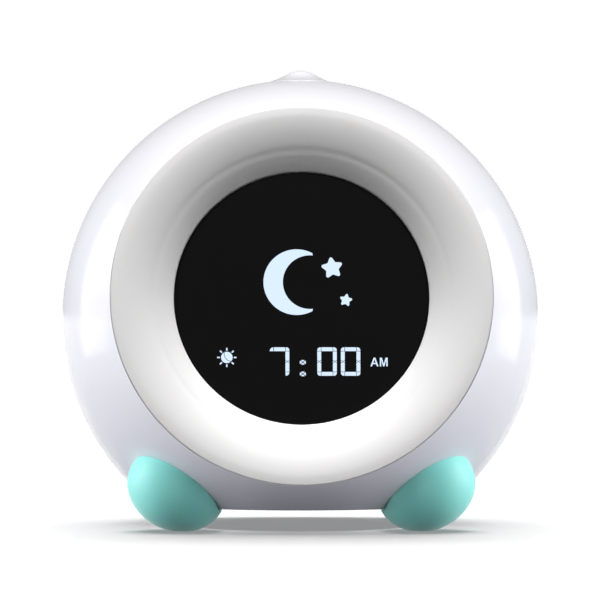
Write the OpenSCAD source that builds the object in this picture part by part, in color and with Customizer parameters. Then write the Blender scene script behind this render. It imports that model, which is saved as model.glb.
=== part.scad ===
// Kids' alarm clock with a night light: a round body on four soft feet, a sunk
// ring round a tilted display, a press button on top and a keypad on the back.
// Millimetres. +Z is up, the clock looks along -Y. The origin is on the table,
// under the middle of the clock. Most sizes are told from the body's centre,
// and those of the face along its own tilted axis.

/* [Body] */
// Outer radius of the round body
body_r = 75; // [72:1:90]
// Wall of the two body shells
wall = 2.4; // [2.0:0.1:2.8]
// From the body's centre down to its flat underside
belly_d = 58.6; // [57.6:0.2:61]
// Gap between the flat underside and the table
belly_gap = 6.8; // [5.6:0.2:8.2]
// Rounding of the underside's edge
belly_round = 3; // [2.8:0.1:4]
// From the body's centre back to the flat rear
back_d = 50; // [48:0.5:52]
// From the body's centre back to the joint between the shells
split_y = 16; // [16:0.5:18]
// Open line between the two shells
seam_gap = 0.3; // [0.1:0.1:0.5]

/* [Face] */
// Upward tilt of the face
face_tilt = 9; // [5:1:11]
// Radius of the opening that holds the ring round the display
ring_r = 58.5; // [58:0.1:59.5]
// Radius of the display that shows
display_r = 39.2; // [37:0.2:39.6]
// Depth of the lens under the edge of the opening
display_depth = 6.9; // [5.5:0.1:8]
// Thickness of the ring's skin
ring_wall = 2.2; // [1.8:0.1:2.6]
// Radius of the ring's curve from its rolled edge to the display
ring_curve = 28; // [24:1:45]
// Radius of the ring's rolled edge
bead_r = 2.1; // [1.6:0.1:2.6]
// Thickness of the lens
lens_t = 2; // [1.5:0.1:2.5]

/* [Top button] */
// Radius of the top button
button_r = 9.2; // [8.4:0.2:9.6]
// Height of the top button above the body
button_h = 2.9; // [2.4:0.1:3.4]
// Travel of the top button
button_travel = 1.5; // [1:0.1:1.6]

/* [Back panel] */
// Radius of the back panel
panel_r = 50; // [49:0.5:50.5]
// Thickness of the back panel
panel_t = 2.2; // [1.8:0.1:2.6]
// Depth of the back panel under the flat rear
panel_recess = 1; // [0.6:0.1:1.4]
// Radius of a key
key_r = 4.5; // [4:0.1:4.7]
// Radius of the arc of keys
key_ring_r = 35.5; // [34.5:0.5:36.5]
// Travel of a key
key_travel = 0.8; // [0.5:0.1:0.9]
// Radius of the speaker
speaker_r = 20.5; // [18:0.5:20.5]
// Radius of a hole of the speaker's grille
grille_hole_r = 1; // [0.7:0.1:1.3]

/* [Base] */
// Radius of the base plate
base_r = 35.5; // [35:0.1:36]
// Length of a battery cell
cell_l = 44.5; // [43:0.5:45]
// Radius of a battery cell
cell_r = 5.25; // [5:0.05:5.3]

/* [Feet] */
// Long half size of a front foot
foot_a = 15.6; // [14:0.1:17]
// Short half size of a front foot
foot_b = 13.3; // [12.4:0.1:14.2]
// Size of a rear foot as a share of a front foot
rear_foot_scale = 0.88; // [0.84:0.01:1]
// Rise of a foot's long axis, outwards
foot_slope = 22.8; // [10:0.2:30]
// How deep a front foot's middle lies under the body's surface
foot_sink = 1.6; // [1:0.1:3]
// How much of a front foot is flattened on the table
foot_flat = 0.37; // [0.2:0.01:0.6]

/* [Fits] */
// Gap between a piece and the opening it sits in
fit_gap = 0.2; // [0.1:0.05:0.3]
// Gap between faces that rest on each other
seat_gap = 0.05; // [0.02:0.01:0.08]
// Gap round a screw's shank in the piece it bites
bite_gap = 0.05; // [0.03:0.01:0.1]

/* [Hidden] */
$fn = 96;
e = 0.02;

// heights told from the body's centre
floor_d = belly_d + belly_gap;
face_y = -cos(face_tilt);
face_z = sin(face_tilt);
inner_r = body_r - wall;
rear_r = sqrt(body_r ^ 2 - back_d ^ 2);
bevel_run = 2.25;
// the face's stack, along the face's axis
rim_a = sqrt(body_r ^ 2 - ring_r ^ 2);
bead_x = ring_r - fit_gap - bead_r;
bead_a = rim_a + 1.1 - bead_r;
ledge_a = rim_a - 6.4;
ledge_t = 2;
ledge_in = 51.9;
ledge_out = sqrt((inner_r + 0.8) ^ 2 - ledge_a ^ 2);
lens_a = rim_a - display_depth;
lens_back = lens_a - lens_t;
lens_r = display_r + 2.3;
film_t = 0.3;
pocket_r = lens_r + fit_gap;
core_top = lens_back - film_t - 2 * seat_gap;
glow_seat = lens_back - 1.15;
glow_t = 1.2;
ear_top = glow_seat - glow_t - 2 * seat_gap;
ear_t = 2;
block_r = 36;
block_h = 6;
ear_in = lens_r - 1.5;
board_top = ear_top - block_h;
board_t = 1.6;
// the ring's curve runs from the rolled edge to the display's edge
edge_a = lens_a + seat_gap + 0.75;
start_x = bead_x - 0.31 * bead_r;
start_a = bead_a + 0.95 * bead_r;
chord = sqrt((start_x - display_r) ^ 2 + (start_a - edge_a) ^ 2);
sag = sqrt(ring_curve ^ 2 - chord ^ 2 / 4);
curve_x = (start_x + display_r) / 2 + sag * (start_a - edge_a) / chord;
curve_a = (start_a + edge_a) / 2 - sag * (start_x - display_r) / chord;
boss_turn = [45, 135, 225, 315];
display_screw_x = 47;
bezel_screw_x = 54;
// where the clock's box ends in front decides how far back the body sits
front_y = bead_a * cos(face_tilt) + bead_x * sin(face_tilt) + bead_r;
body_y = (front_y - back_d) / 2;
// back panel, along +Y from the body's centre
panel_out = back_d - panel_recess;
panel_in = panel_out - panel_t;
panel_ledge_r = 44;
panel_screw_x = 47.2;
key_names = 8;
key_step = 22;
key_flange = 1.2;
key_foot = key_r + 0.8;
switch_top = seat_gap + key_flange + key_travel + 0.3;
switch_h = 3.4;
well_d = 2.2;
key_board_d = switch_top + switch_h + seat_gap;
key_post_x = key_ring_r - 5.2;
speaker_z = -4;
socket_z = -36;
socket_w = 9.4;
socket_h = 3.8;
socket_l = 8.4;
main_d = 21.2;
main_w = 66;
main_bottom = -31;
main_top = 14;
main_posts = [[29, -27], [22, 9], [-29, -27], [-22, 9]];
main_y = panel_in - main_d - board_t;
// base plate and battery bay, heights from the body's centre
lug_z = -belly_d + wall - 0.3;
base_t = wall - 0.3 - seat_gap;
base_top = -belly_d + base_t;
lug_x = 31.4;
lug_turn = [67.5, 112.5];
bay_l = cell_l + 6;
cell_step = 2 * cell_r + 0.6;
bay_w = 3 * cell_step + 0.4;
bay_wall = 1.6;
door_t = 2;
door_gap = 0.3;
door_top = -belly_d + door_t;
cell_z = door_top + 0.3 + cell_r;
bay_top = cell_z + cell_r + 0.4;
hinge_y = -bay_w / 2 + door_gap + door_t / 2;
hinge_z = -belly_d + door_t / 2;
pin_r = 0.6;
door_screw_y = bay_w / 2 + 3.2;
shelf_z = door_top + seat_gap;
// top button, heights from the body's centre
button_top = body_r + button_h;
cap_r = 8.6;
cap_x = cap_r * sin(30);
cap_z = button_top - cap_r * (1 - cos(30));
flank_low = 14;
flank_high = 26;
flank_r = (button_r - cap_x) / (sin(flank_high) - sin(flank_low));
flank_x = cap_x + flank_r * sin(flank_high);
flank_z = cap_z + flank_r * cos(flank_high);
flange_r = button_r + 1.4;
flange_top = sqrt(inner_r ^ 2 - flange_r ^ 2) - 0.3;
cup_in = flange_r + 0.3;
cup_out = cup_in + 1.3;
cup_top = flange_top - 0.6;
cup_floor = flange_top - 8.1;
roof_z = button_top - 4.5;
button_board_z = cup_floor - 7.65;
stem_r = 2;
stem_low = button_board_z + board_t + seat_gap + switch_h - well_d + button_travel + 0.1;
ear_x = cup_out + 3.3;
// feet
// from the flat rear in to the middle of a rear foot; the front feet mirror it
foot_inset = 15.337;
foot_half = sqrt((foot_a * sin(foot_slope)) ^ 2 + (foot_b * cos(foot_slope)) ^ 2);
foot_az = asin((back_d - foot_inset) / foot_reach(1));
// shell screws, round the Y axis; the lower ones clear the feet's screws
shell_screw_x = body_r - 10;
foot_turn = atan2(-foot_z(1), foot_reach(1) * cos(foot_az));
screw_turn = foot_turn - 15.6352;
shell_screw_turn = [screw_turn, 180 - screw_turn, 180 + screw_turn, 360 - screw_turn];
shell_seat = split_y + 4;
// screws
tapping_r = 1.1;
shell_tapping_r = 1.4;

function foot_z(k) = -floor_d + k * (foot_half - foot_flat);
function foot_reach(k) = sqrt((body_r - foot_sink * k) ^ 2 - foot_z(k) ^ 2);
function foot_at(sx, sy) = let(k = sy < 0 ? 1 : rear_foot_scale)
    [sx * foot_reach(k) * cos(foot_az), sy * foot_reach(k) * sin(foot_az), foot_z(k)];
function key_turn(i) = 90 + key_step * (key_names - 1) / 2 - key_step * i;
function on_face_point(x, u, a) = [x, a * face_y + u * face_z, a * face_z - u * face_y];

// ---- places ----

module at_body() translate([0, body_y, floor_d]) children();

// local Z runs out of the face, local Y up along it
module on_face() at_body() rotate([90 - face_tilt, 0, 0]) children();

// local Z runs out of the back, local X to the right as seen from behind
module on_back() at_body() rotate([90, 0, 180]) children();

// local Z runs along a vector
module toward(p) rotate([0, acos(p[2] / norm(p)), atan2(p[1], p[0])]) children();

// ---- shapes used by more than one piece ----

// a screw along +Z: its head, with a cross for the driver, ends at 0 and its shank runs on
module screw(head_r, head_h, shank_r, shank_l) {
    difference() {
        translate([0, 0, -head_h]) cylinder(r = head_r, h = head_h);
        for (t = [0, 90]) rotate([0, 0, t]) translate([-head_r * 0.6, -head_r * 0.13, -head_h - 1])
            cube([head_r * 1.2, head_r * 0.26, 1 + head_h * 0.6]);
    }
    translate([0, 0, -e]) cylinder(r = shank_r, h = shank_l + e);
}

// a round wire along a list of points
module wire(points, r) {
    for (i = [0 : len(points) - 2]) {
        step = points[i + 1] - points[i];
        translate(points[i]) toward(step) cylinder(r = r, h = norm(step), $fn = 24);
    }
    for (p = points) translate(p) sphere(r = r * 1.12, $fn = 24);
}

// a coil spring along +Z as one tube
module coil(r, wire_r, length, turns) {
    sides = 6;
    rings = 8 * turns;
    rise = length - 2.4 * wire_r;
    slope = atan2(rise / turns, 2 * PI * r);
    points = [
        for (i = [0 : rings], j = [0 : sides - 1])
        let (turn = 45 * i, spin = 60 * j, out = wire_r * cos(spin), up = wire_r * sin(spin))
        [
            (r + out) * cos(turn) + up * sin(slope) * sin(turn),
            (r + out) * sin(turn) - up * sin(slope) * cos(turn),
            1.2 * wire_r + rise * i / rings + up * cos(slope)
        ]
    ];
    sleeve = [
        for (i = [0 : rings - 1], j = [0 : sides - 1])
        let (a = i * sides + j, b = i * sides + (j + 1) % sides)
        each [[a, a + sides, b], [b, a + sides, b + sides]]
    ];
    start = [for (j = [1 : sides - 2]) [0, j, j + 1]];
    finish = [for (j = [1 : sides - 2]) [rings * sides, rings * sides + j + 1, rings * sides + j]];
    polyhedron(points, concat(sleeve, start, finish));
}

// half outline of the body, cut flat below
module plain_outline(r, d) {
    intersection() {
        circle(r);
        translate([0, -d]) square([r + 1, d + r + 1]);
    }
}

// the same with the edge of the flat underside rounded
module round_outline(r, d, round) {
    x = sqrt((r - round) ^ 2 - (d - round) ^ 2);
    k = r / (r - round);
    intersection() {
        circle(r);
        translate([0, -d]) square([r + 1, d + r + 1]);
        union() {
            polygon([
                [-1, -d - 1], [x, -d - 1], [x, -d], [x * k, -(d - round) * k],
                [r + 1, -(d - round) * k], [r + 1, r + 1], [-1, r + 1]
            ]);
            translate([x, -(d - round)]) circle(round + e);
        }
    }
}

module plain_body(r, d) rotate_extrude() plain_outline(r, d);

// a slab of the body between two places on the Y axis
module slab(from, to) {
    translate([-body_r - 5, from, -body_r - 5]) cube([2 * body_r + 10, to - from, 2 * body_r + 15]);
}

// the body as a hollow skin, closed by its flat rear wall
module hollow_body() {
    difference() {
        intersection() {
            rotate_extrude() round_outline(body_r, belly_d, belly_round);
            slab(-body_r - 5, back_d);
        }
        intersection() {
            plain_body(inner_r, belly_d - wall);
            slab(-body_r - 5, back_d - wall);
        }
        // bevel between the round body and the flat rear
        rotate([90, 0, 180]) translate([0, 0, back_d - 3]) difference() {
            cylinder(r = body_r, h = 10);
            translate([0, 0, -1]) cylinder(r1 = rear_r - 1.5 + 4 * bevel_run, r2 = rear_r - 1.5, h = 4);
        }
    }
}

// the base plate's opening, with room for the battery bay, and the lugs that carry the plate
module base_opening() {
    translate([0, 0, -belly_d - 1]) cylinder(r = base_r + fit_gap, h = wall + 5);
    translate([-bay_l / 2 - bay_wall - fit_gap, -bay_w / 2 - bay_wall - fit_gap, -belly_d - 1])
        cube([bay_l + 2 * (bay_wall + fit_gap), bay_w + 2 * (bay_wall + fit_gap),
              bay_top + bay_wall + belly_d + 1.5]);
}
module base_lugs(back) {
    for (turn = lug_turn) rotate([0, 0, back ? turn : -turn]) difference() {
        translate([lug_x - 3.4, -4, lug_z]) cube([11, 8, 5.5]);
        translate([lug_x, 0, lug_z - 1]) cylinder(r = tapping_r + bite_gap, h = 5.5);
    }
}

// ---- body shells ----

module front_shell() {
    color("#f2f1f6") {
        at_body() {
            difference() {
                union() {
                    difference() {
                        intersection() {
                            hollow_body();
                            slab(-body_r - 5, split_y - seam_gap / 2);
                        }
                        base_opening();
                        translate([0, 0, body_r - wall - 5]) cylinder(r = button_r + fit_gap, h = 20);
                    }
                    base_lugs(false);
                    // posts that the shell screws bite
                    intersection() {
                        rotate([90, 0, 180]) for (t = shell_screw_turn) rotate([0, 0, t])
                            translate([shell_screw_x, 0, -45]) cylinder(r = 3.6, h = 45 + split_y - seam_gap / 2);
                        sphere(body_r - wall / 2);
                    }
                    // posts under the roof for the button's guide
                    for (s = [-1, 1]) translate([s * ear_x, 0, cup_floor + 4.05])
                        cylinder(r = 3, h = inner_r - wall / 4 - cup_floor - 4.05 - 0.5);
                    // ledge that carries the ring, inside the face opening
                    rotate([90 - face_tilt, 0, 0]) translate([0, 0, ledge_a - ledge_t]) difference() {
                        cylinder(r = ledge_out, h = ledge_t);
                        translate([0, 0, -1]) cylinder(r = ledge_in, h = ledge_t + 2);
                        for (t = boss_turn) rotate([0, 0, t]) translate([bezel_screw_x, 0, -1])
                            cylinder(r = tapping_r + 0.3, h = ledge_t + 2, $fn = 32);
                    }
                }
                // face opening, its edge blunted by a plane
                rotate([90 - face_tilt, 0, 0]) {
                    translate([0, 0, ledge_a]) cylinder(r = ring_r, h = 60);
                    translate([0, 0, rim_a - 0.3]) cylinder(r = ring_r + 10, h = 60);
                }
                rotate([90, 0, 180]) for (t = shell_screw_turn) rotate([0, 0, t])
                    translate([shell_screw_x, 0, split_y - 16]) cylinder(r = shell_tapping_r + bite_gap, h = 20, $fn = 32);
                for (s = [-1, 1]) translate([s * ear_x, 0, cup_floor])
                    cylinder(r = tapping_r + bite_gap, h = 8.4, $fn = 32);
                foot_holes(-1);
            }
        }
    }
}

module rear_shell() {
    color("#f2f1f6") at_body() difference() {
        union() {
            intersection() {
                hollow_body();
                slab(split_y + seam_gap / 2, back_d + 5);
            }
            // tongue that centres the front shell
            difference() {
                union() {
                    intersection() {
                        plain_body(inner_r - 0.25, belly_d - wall - 0.25);
                        slab(split_y - 3, split_y + 2);
                    }
                    intersection() {
                        plain_body(inner_r + 0.5, belly_d - wall + 0.5);
                        slab(split_y + 1, split_y + 6);
                    }
                }
                plain_body(inner_r - 1.65, belly_d - wall - 1.65);
                // room for the button's cup
                translate([0, 0, cup_floor - 1]) cylinder(r = cup_out + fit_gap + 0.3, h = 20);
            }
            // bosses for the shell screws
            intersection() {
                rotate([90, 0, 180]) for (t = shell_screw_turn) rotate([0, 0, t])
                    translate([shell_screw_x, 0, split_y + seam_gap / 2]) cylinder(r = 4.8, h = 30);
                sphere(body_r - wall / 2);
            }
            base_lugs(true);
            // collar and ledge behind the back panel
            rotate([90, 0, 180]) {
                translate([0, 0, panel_in - seat_gap - 2.2]) cylinder(r = panel_r + 3, h = 2.2 + panel_t + 0.3);
                for (t = boss_turn) rotate([0, 0, t]) translate([panel_screw_x, 0, panel_in - 9])
                    cylinder(r = 3.2, h = 7);
            }
        }
        base_opening();
        rotate([90, 0, 180]) {
            translate([0, 0, panel_in - seat_gap]) cylinder(r = panel_r + fit_gap, h = 20);
            translate([0, 0, panel_in - 3]) cylinder(r = panel_ledge_r, h = 20);
            for (t = boss_turn) rotate([0, 0, t]) translate([panel_screw_x, 0, panel_in - 8.2])
                cylinder(r = tapping_r + bite_gap, h = 12, $fn = 32);
            for (t = shell_screw_turn) rotate([0, 0, t]) {
                translate([shell_screw_x, 0, split_y - 5]) cylinder(r = shell_tapping_r + 0.2, h = 20, $fn = 32);
                translate([shell_screw_x, 0, shell_seat]) cylinder(r = 3.3, h = 40);
            }
        }
        foot_holes(1);
    }
}

// holes for the screws of one pair of feet
module foot_holes(sy) {
    for (sx = [-1, 1]) toward(foot_at(sx, sy)) translate([0, 0, body_r - 8])
        cylinder(r = tapping_r + 0.3, h = 12, $fn = 32);
}

// ---- face ----

// what lies under the ring's front surface, up to a depth
module under_curve(depth) rotate_extrude() intersection() {
    translate([curve_x, curve_a]) circle(ring_curve - depth);
    translate([display_r - 5, lens_a - 12]) square([bead_x - display_r + 5, 40]);
}

module ring_outline() {
    intersection() {
        union() {
            // skin from the display's edge to the rolled edge
            difference() {
                intersection() {
                    translate([curve_x, curve_a]) circle(ring_curve);
                    translate([display_r, lens_a - 8]) square([bead_x - display_r, 40]);
                }
                translate([curve_x, curve_a]) circle(ring_curve - ring_wall);
                translate([0, lens_a - 20]) square([pocket_r, 20 + seat_gap]);
            }
            // rolled edge and the outer wall under it
            translate([bead_x, bead_a]) circle(bead_r + e);
            translate([bead_x - 0.6, ledge_a + seat_gap]) square([bead_r + 0.6, bead_a - ledge_a - seat_gap]);
            // wall round the lens
            translate([pocket_r, lens_back - 1]) square([1.8, lens_t + 2.6]);
        }
        square([bead_x + bead_r, 100]);
    }
}

module bezel_ring() {
    color("#f4f2f2") on_face() difference() {
        union() {
            rotate_extrude() ring_outline();
            // bosses for the screws, ending inside the skin
            intersection() {
                for (t = boss_turn) rotate([0, 0, t]) {
                    translate([display_screw_x, 0, glow_seat + seat_gap]) cylinder(r = 2.75, h = 14);
                    translate([bezel_screw_x, 0, ledge_a + seat_gap]) cylinder(r = 2.4, h = 14);
                }
                under_curve(1);
            }
        }
        for (t = boss_turn) rotate([0, 0, t]) {
            translate([display_screw_x, 0, glow_seat - 1])
                cylinder(r = tapping_r + bite_gap, h = 5.2, $fn = 32);
            translate([bezel_screw_x, 0, ledge_a - 1])
                cylinder(r = tapping_r + bite_gap, h = 4.6, $fn = 32);
        }
    }
}

module display_lens() {
    color("#141414") on_face() translate([0, 0, lens_back]) cylinder(r = lens_r, h = lens_t);
}

module segment_film() {
    color("#20242a") on_face() translate([0, 0, lens_back - seat_gap - film_t])
        cylinder(r = lens_r - 0.4, h = film_t);
}

// windows of the display: moon, two stars, four digits, colon, AM and sun
digit_at = [-14.8, -6.8, 7.7, 15];
digit_w = 6.4;
digit_h = 9.4;
digit_u = -20;
moon = [-1.5, 5];
stars = [[9.4, 9.4, 3.6], [13.6, -0.6, 2.2]];
module windows(from, h) {
    translate([0, digit_u, from]) {
        for (x = digit_at) translate([x - digit_w / 2, -digit_h / 2, 0]) cube([digit_w, digit_h, h]);
        for (s = [-1, 1]) translate([0.4, 1.8 * s, 0]) cylinder(r = 1, h = h, $fn = 32);
        translate([20.4, -0.6, 0]) cube([7, 4, h]);
        translate([-23, 1.6, 0]) cylinder(r = 3.4, h = h, $fn = 48);
    }
    translate([moon[0], moon[1], from]) difference() {
        cylinder(r = 10.2, h = h);
        translate([4.1, 0, -1]) cylinder(r = 8.4, h = h + 2);
    }
    for (p = stars) translate([p[0], p[1], from]) cylinder(r = p[2], h = h, $fn = 48);
}

module segment_housing() {
    color("#e9e9ea") on_face() {
        difference() {
            union() {
                translate([0, 0, board_top + seat_gap]) cylinder(r = block_r, h = block_h + 0.4);
                translate([0, 0, ear_top - ear_t]) cylinder(r = lens_r + 1.8, h = ear_t);
                translate([0, 0, ear_top - 0.5]) cylinder(r = lens_r - 0.2, h = core_top - ear_top + 0.5);
                for (t = boss_turn) rotate([0, 0, t]) translate([ear_in, -3.5, ear_top - ear_t])
                    cube([display_screw_x + 3 - ear_in, 7, ear_t]);
            }
            windows(board_top - 1, 30);
            for (t = boss_turn) rotate([0, 0, t]) translate([display_screw_x, 0, ear_top - 5])
                cylinder(r = tapping_r + 0.3, h = 10, $fn = 32);
        }
        // hooks that hold the display's board
        for (t = [90, 210, 330]) rotate([0, 0, t]) {
            translate([block_r - 0.2, -3, board_top - board_t - 1.3])
                cube([1.8, 6, ear_top - ear_t - board_top + board_t + 1.5]);
            translate([block_r - 1.2, -3, board_top - board_t - 1.3]) cube([1.6, 6, 1.2]);
        }
    }
}

module display_board() {
    color("#1f5a3c") on_face() translate([0, 0, board_top - board_t]) cylinder(r = block_r - 0.5, h = board_t);
}

module display_leds() {
    color("#dfeffa") on_face() translate([0, 0, board_top + seat_gap]) {
        for (x = digit_at) translate([x, digit_u, 0]) {
            for (v = [-1, 0, 1]) translate([-0.8, v * (digit_h / 2 - 0.7) - 0.4, 0]) cube([1.6, 0.8, 0.8]);
            for (s = [-1, 1], v = [-1, 1]) translate([s * (digit_w / 2 - 0.6) - 0.4, v * digit_h / 4 - 0.8, 0])
                cube([0.8, 1.6, 0.8]);
        }
        for (p = [[stars[0][0], stars[0][1]], [stars[1][0], stars[1][1]], [moon[0] - 7.2, moon[1]],
                  [moon[0] - 5.6, moon[1] + 5.4], [moon[0] - 5.6, moon[1] - 5.4], [-23, digit_u + 1.6],
                  [23.9, digit_u + 1.4], [0.4, digit_u + 1.8], [0.4, digit_u - 1.8]])
            translate([p[0] - 0.6, p[1] - 0.4, 0]) cube([1.2, 0.8, 0.8]);
    }
}

module glow_board() {
    color("#f3f3ee") on_face() translate([0, 0, glow_seat - glow_t]) difference() {
        cylinder(r = ledge_in - 0.7, h = glow_t);
        translate([0, 0, -1]) cylinder(r = lens_r + 2.7, h = glow_t + 2);
        for (t = boss_turn) rotate([0, 0, t]) translate([display_screw_x, 0, -1])
            cylinder(r = tapping_r + 0.3, h = glow_t + 2, $fn = 32);
    }
}

module glow_leds() {
    color("#fff3c4") on_face() for (i = [0 : 11]) rotate([0, 0, 30 * i])
        translate([47.4, -1.4, glow_seat + seat_gap]) cube([2.8, 2.8, 1.2]);
}

module display_screws() {
    color("#b9bcc0") on_face() for (t = boss_turn) rotate([0, 0, t])
        translate([display_screw_x, 0, ear_top - ear_t - seat_gap]) screw(2.3, 1.6, tapping_r, 7);
}

module bezel_screws() {
    color("#b9bcc0") on_face() for (t = boss_turn) rotate([0, 0, t])
        translate([bezel_screw_x, 0, ledge_a - ledge_t - seat_gap]) screw(2.1, 1.4, tapping_r, 5.2);
}

// ---- back panel with keys and speaker ----

module key_places() {
    for (i = [0 : key_names - 1]) rotate([0, 0, key_turn(i)]) translate([key_ring_r, 0, 0]) children();
}
module key_post_places() {
    for (k = [-3, 0, 3]) rotate([0, 0, 90 + k * key_step]) translate([key_post_x, 0, 0]) children();
}
module speaker_screw_places() {
    translate([0, speaker_z, 0]) for (t = [90, 210, 330]) rotate([0, 0, t])
        translate([speaker_r + 2.2, 0, 0]) children();
}

module rear_panel() {
    color("#ecebef") on_back() difference() {
        union() {
            translate([0, 0, panel_in]) cylinder(r = panel_r, h = panel_t);
            key_post_places() translate([0, 0, panel_in - key_board_d + seat_gap])
                cylinder(r = 2.2, h = key_board_d, $fn = 48);
            speaker_screw_places() translate([0, 0, panel_in - 2.2]) cylinder(r = 1.9, h = 2.4, $fn = 48);
            for (p = main_posts) translate([p[0], p[1], panel_in - main_d + seat_gap])
                cylinder(r = 2.5, h = main_d, $fn = 48);
            // ribs under and beside the power socket's board
            for (s = [-1, 1]) {
                translate([s * 5 - 1, socket_z - socket_h / 2 - 3.3 - seat_gap, panel_in - 12])
                    cube([2, 2, 12.2]);
                translate([s * 8.3 - 0.7, socket_z - socket_h / 2 - 3.3, panel_in - 12]) cube([1.4, 5.2, 12.2]);
            }
        }
        key_places() translate([0, 0, panel_in - 1]) cylinder(r = key_r + fit_gap, h = 10);
        translate([0, speaker_z, panel_in - 1]) {
            cylinder(r = grille_hole_r, h = 10, $fn = 24);
            for (ring = [1 : 4], i = [0 : 6 * ring - 1]) rotate([0, 0, 60 * i / ring])
                translate([ring * 3.9, 0, 0]) cylinder(r = grille_hole_r, h = 10, $fn = 24);
        }
        translate([0, socket_z, panel_in - 1]) linear_extrude(10)
            slot_shape(socket_w + 2 * fit_gap, socket_h + 2 * fit_gap);
        for (t = boss_turn) rotate([0, 0, t]) translate([panel_screw_x, 0, panel_in - 1]) {
            cylinder(r = tapping_r + 0.3, h = 10, $fn = 32);
            translate([0, 0, 1 + panel_t - 1]) cylinder(r = 2.6, h = 5, $fn = 48);
        }
        key_post_places() translate([0, 0, panel_in - key_board_d - 1]) cylinder(r = tapping_r, h = 5.5, $fn = 32);
        speaker_screw_places() translate([0, 0, panel_in - 5]) cylinder(r = 0.9, h = 5.8, $fn = 32);
        for (p = main_posts) translate([p[0], p[1], panel_in - main_d - 1]) cylinder(r = tapping_r, h = 8, $fn = 32);
    }
}

module panel_screws() {
    color("#b9bcc0") on_back() for (t = boss_turn) rotate([0, 0, t])
        translate([panel_screw_x, 0, panel_out - 1 + seat_gap]) mirror([0, 0, 1])
            screw(2.3, 0.9, tapping_r, 7.6);
}

// a key: a domed cap, a foot that stops behind the panel and a stem
module key(i) {
    cap_top = back_d - 0.2;
    on_back() rotate([0, 0, key_turn(i)]) translate([key_ring_r, 0, 0]) {
        intersection() {
            translate([0, 0, panel_in - seat_gap - key_flange]) cylinder(r = key_r, h = 10);
            translate([0, 0, cap_top - 16]) sphere(16);
        }
        translate([0, 0, panel_in - seat_gap - key_flange]) cylinder(r = key_foot, h = key_flange);
        translate([0, 0, panel_in - switch_top - well_d + key_travel + 0.1])
            cylinder(r = 1.75, h = switch_top + well_d - key_travel - 1, $fn = 48);
    }
}
module key_volume_down() color("#d9d8de") key(0);
module key_volume_up() color("#d9d8de") key(1);
module key_sound() color("#d9d8de") key(2);
module key_light() color("#d9d8de") key(3);
module key_nap() color("#8fd3cc") key(4);
module key_sleep() color("#8fd3cc") key(5);
module key_alarm() color("#d9d8de") key(6);
module key_clock() color("#d9d8de") key(7);

module key_board() {
    color("#1f5a3c") on_back() translate([0, 0, panel_in - key_board_d - board_t]) difference() {
        cylinder(r = key_ring_r + 5.5, h = board_t);
        translate([0, 0, -1]) cylinder(r = key_post_x - 3, h = board_t + 2);
        translate([-60, -60, -1]) cube([120, 60 + 3.5, board_t + 2]);
        key_post_places() translate([0, 0, -1]) cylinder(r = tapping_r + 0.3, h = board_t + 2, $fn = 32);
    }
}

module key_switches() {
    color("#2b2b2d") on_back() key_places() translate([0, 0, panel_in - switch_top - switch_h])
        difference() {
            translate([-3, -3, 0]) cube([6, 6, switch_h]);
            translate([0, 0, switch_h - well_d]) cylinder(r = 2, h = well_d + 1, $fn = 48);
        }
}

module key_board_screws() {
    color("#b9bcc0") on_back() key_post_places()
        translate([0, 0, panel_in - key_board_d - board_t - seat_gap]) screw(1.9, 1.3, tapping_r - bite_gap, 5);
}

module speaker_gasket() {
    color("#3a3a3c") on_back() translate([0, speaker_z, panel_in - seat_gap - 0.9]) difference() {
        cylinder(r = speaker_r, h = 0.9);
        translate([0, 0, -1]) cylinder(r = speaker_r - 3, h = 3);
    }
}

module speaker_frame() {
    color("#8d9096") on_back() translate([0, speaker_z, panel_in - 2 * seat_gap - 0.9]) rotate_extrude()
        polygon([
            [speaker_r - 3, 0], [speaker_r, 0], [speaker_r, -1], [speaker_r - 1.6, -1],
            [12.2, -6.6], [10.8, -6.6], [10.8, -7.4], [6.4, -7.4], [6.4, -6.4], [10, -6.4],
            [10, -5.8], [11.8, -5.8], [speaker_r - 3, -1]
        ]);
}

module speaker_cone() {
    color("#4a4a4c") on_back() translate([0, speaker_z, panel_in - 2 * seat_gap - 0.9]) rotate_extrude()
        polygon([
            [0, -3.2], [3, -3.4], [5, -4.2], [speaker_r - 6, -0.6], [speaker_r - 3.1, -0.4],
            [speaker_r - 3.1, -0.8], [speaker_r - 5.8, -1], [5.4, -4.7], [5.4, -5.6], [5, -5.6],
            [5, -4.8], [3, -3.9], [0, -3.7]
        ]);
}

module speaker_magnet() {
    color("#5b5e63") on_back() translate([0, speaker_z, panel_in - 2 * seat_gap - 0.9 - 7.4 - seat_gap]) difference() {
        union() {
            translate([0, 0, -5]) cylinder(r = 10.5, h = 5);
            translate([0, 0, -6.2]) cylinder(r = 9.5, h = 1.4);
            cylinder(r = 4.6, h = 2.6);
        }
    }
}

module speaker_screws() {
    color("#b9bcc0") on_back() speaker_screw_places() translate([0, 0, panel_in - 2.2 - seat_gap])
        screw(3, 0.9, 0.85, 2.8);
}

// a flat opening with round ends
module slot_shape(w, h) {
    square([w - h, h], center = true);
    for (s = [-1, 1]) translate([s * (w - h) / 2, 0]) circle(h / 2, $fn = 48);
}

module usb_socket() {
    color("#b4b8bd") on_back() translate([0, socket_z, panel_out - 0.3 - socket_l]) {
        difference() {
            linear_extrude(socket_l) slot_shape(socket_w, socket_h);
            translate([0, 0, 1]) linear_extrude(socket_l) slot_shape(socket_w - 0.7, socket_h - 0.7);
        }
        translate([-3.3, -0.35, 0.5]) cube([6.6, 0.7, socket_l - 1.5]);
    }
}

module usb_board() {
    color("#1f5a3c") on_back() translate([-7.5, socket_z - socket_h / 2 - seat_gap - 1.2, panel_in - 12.3])
        cube([15, 1.2, 12]);
}

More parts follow.
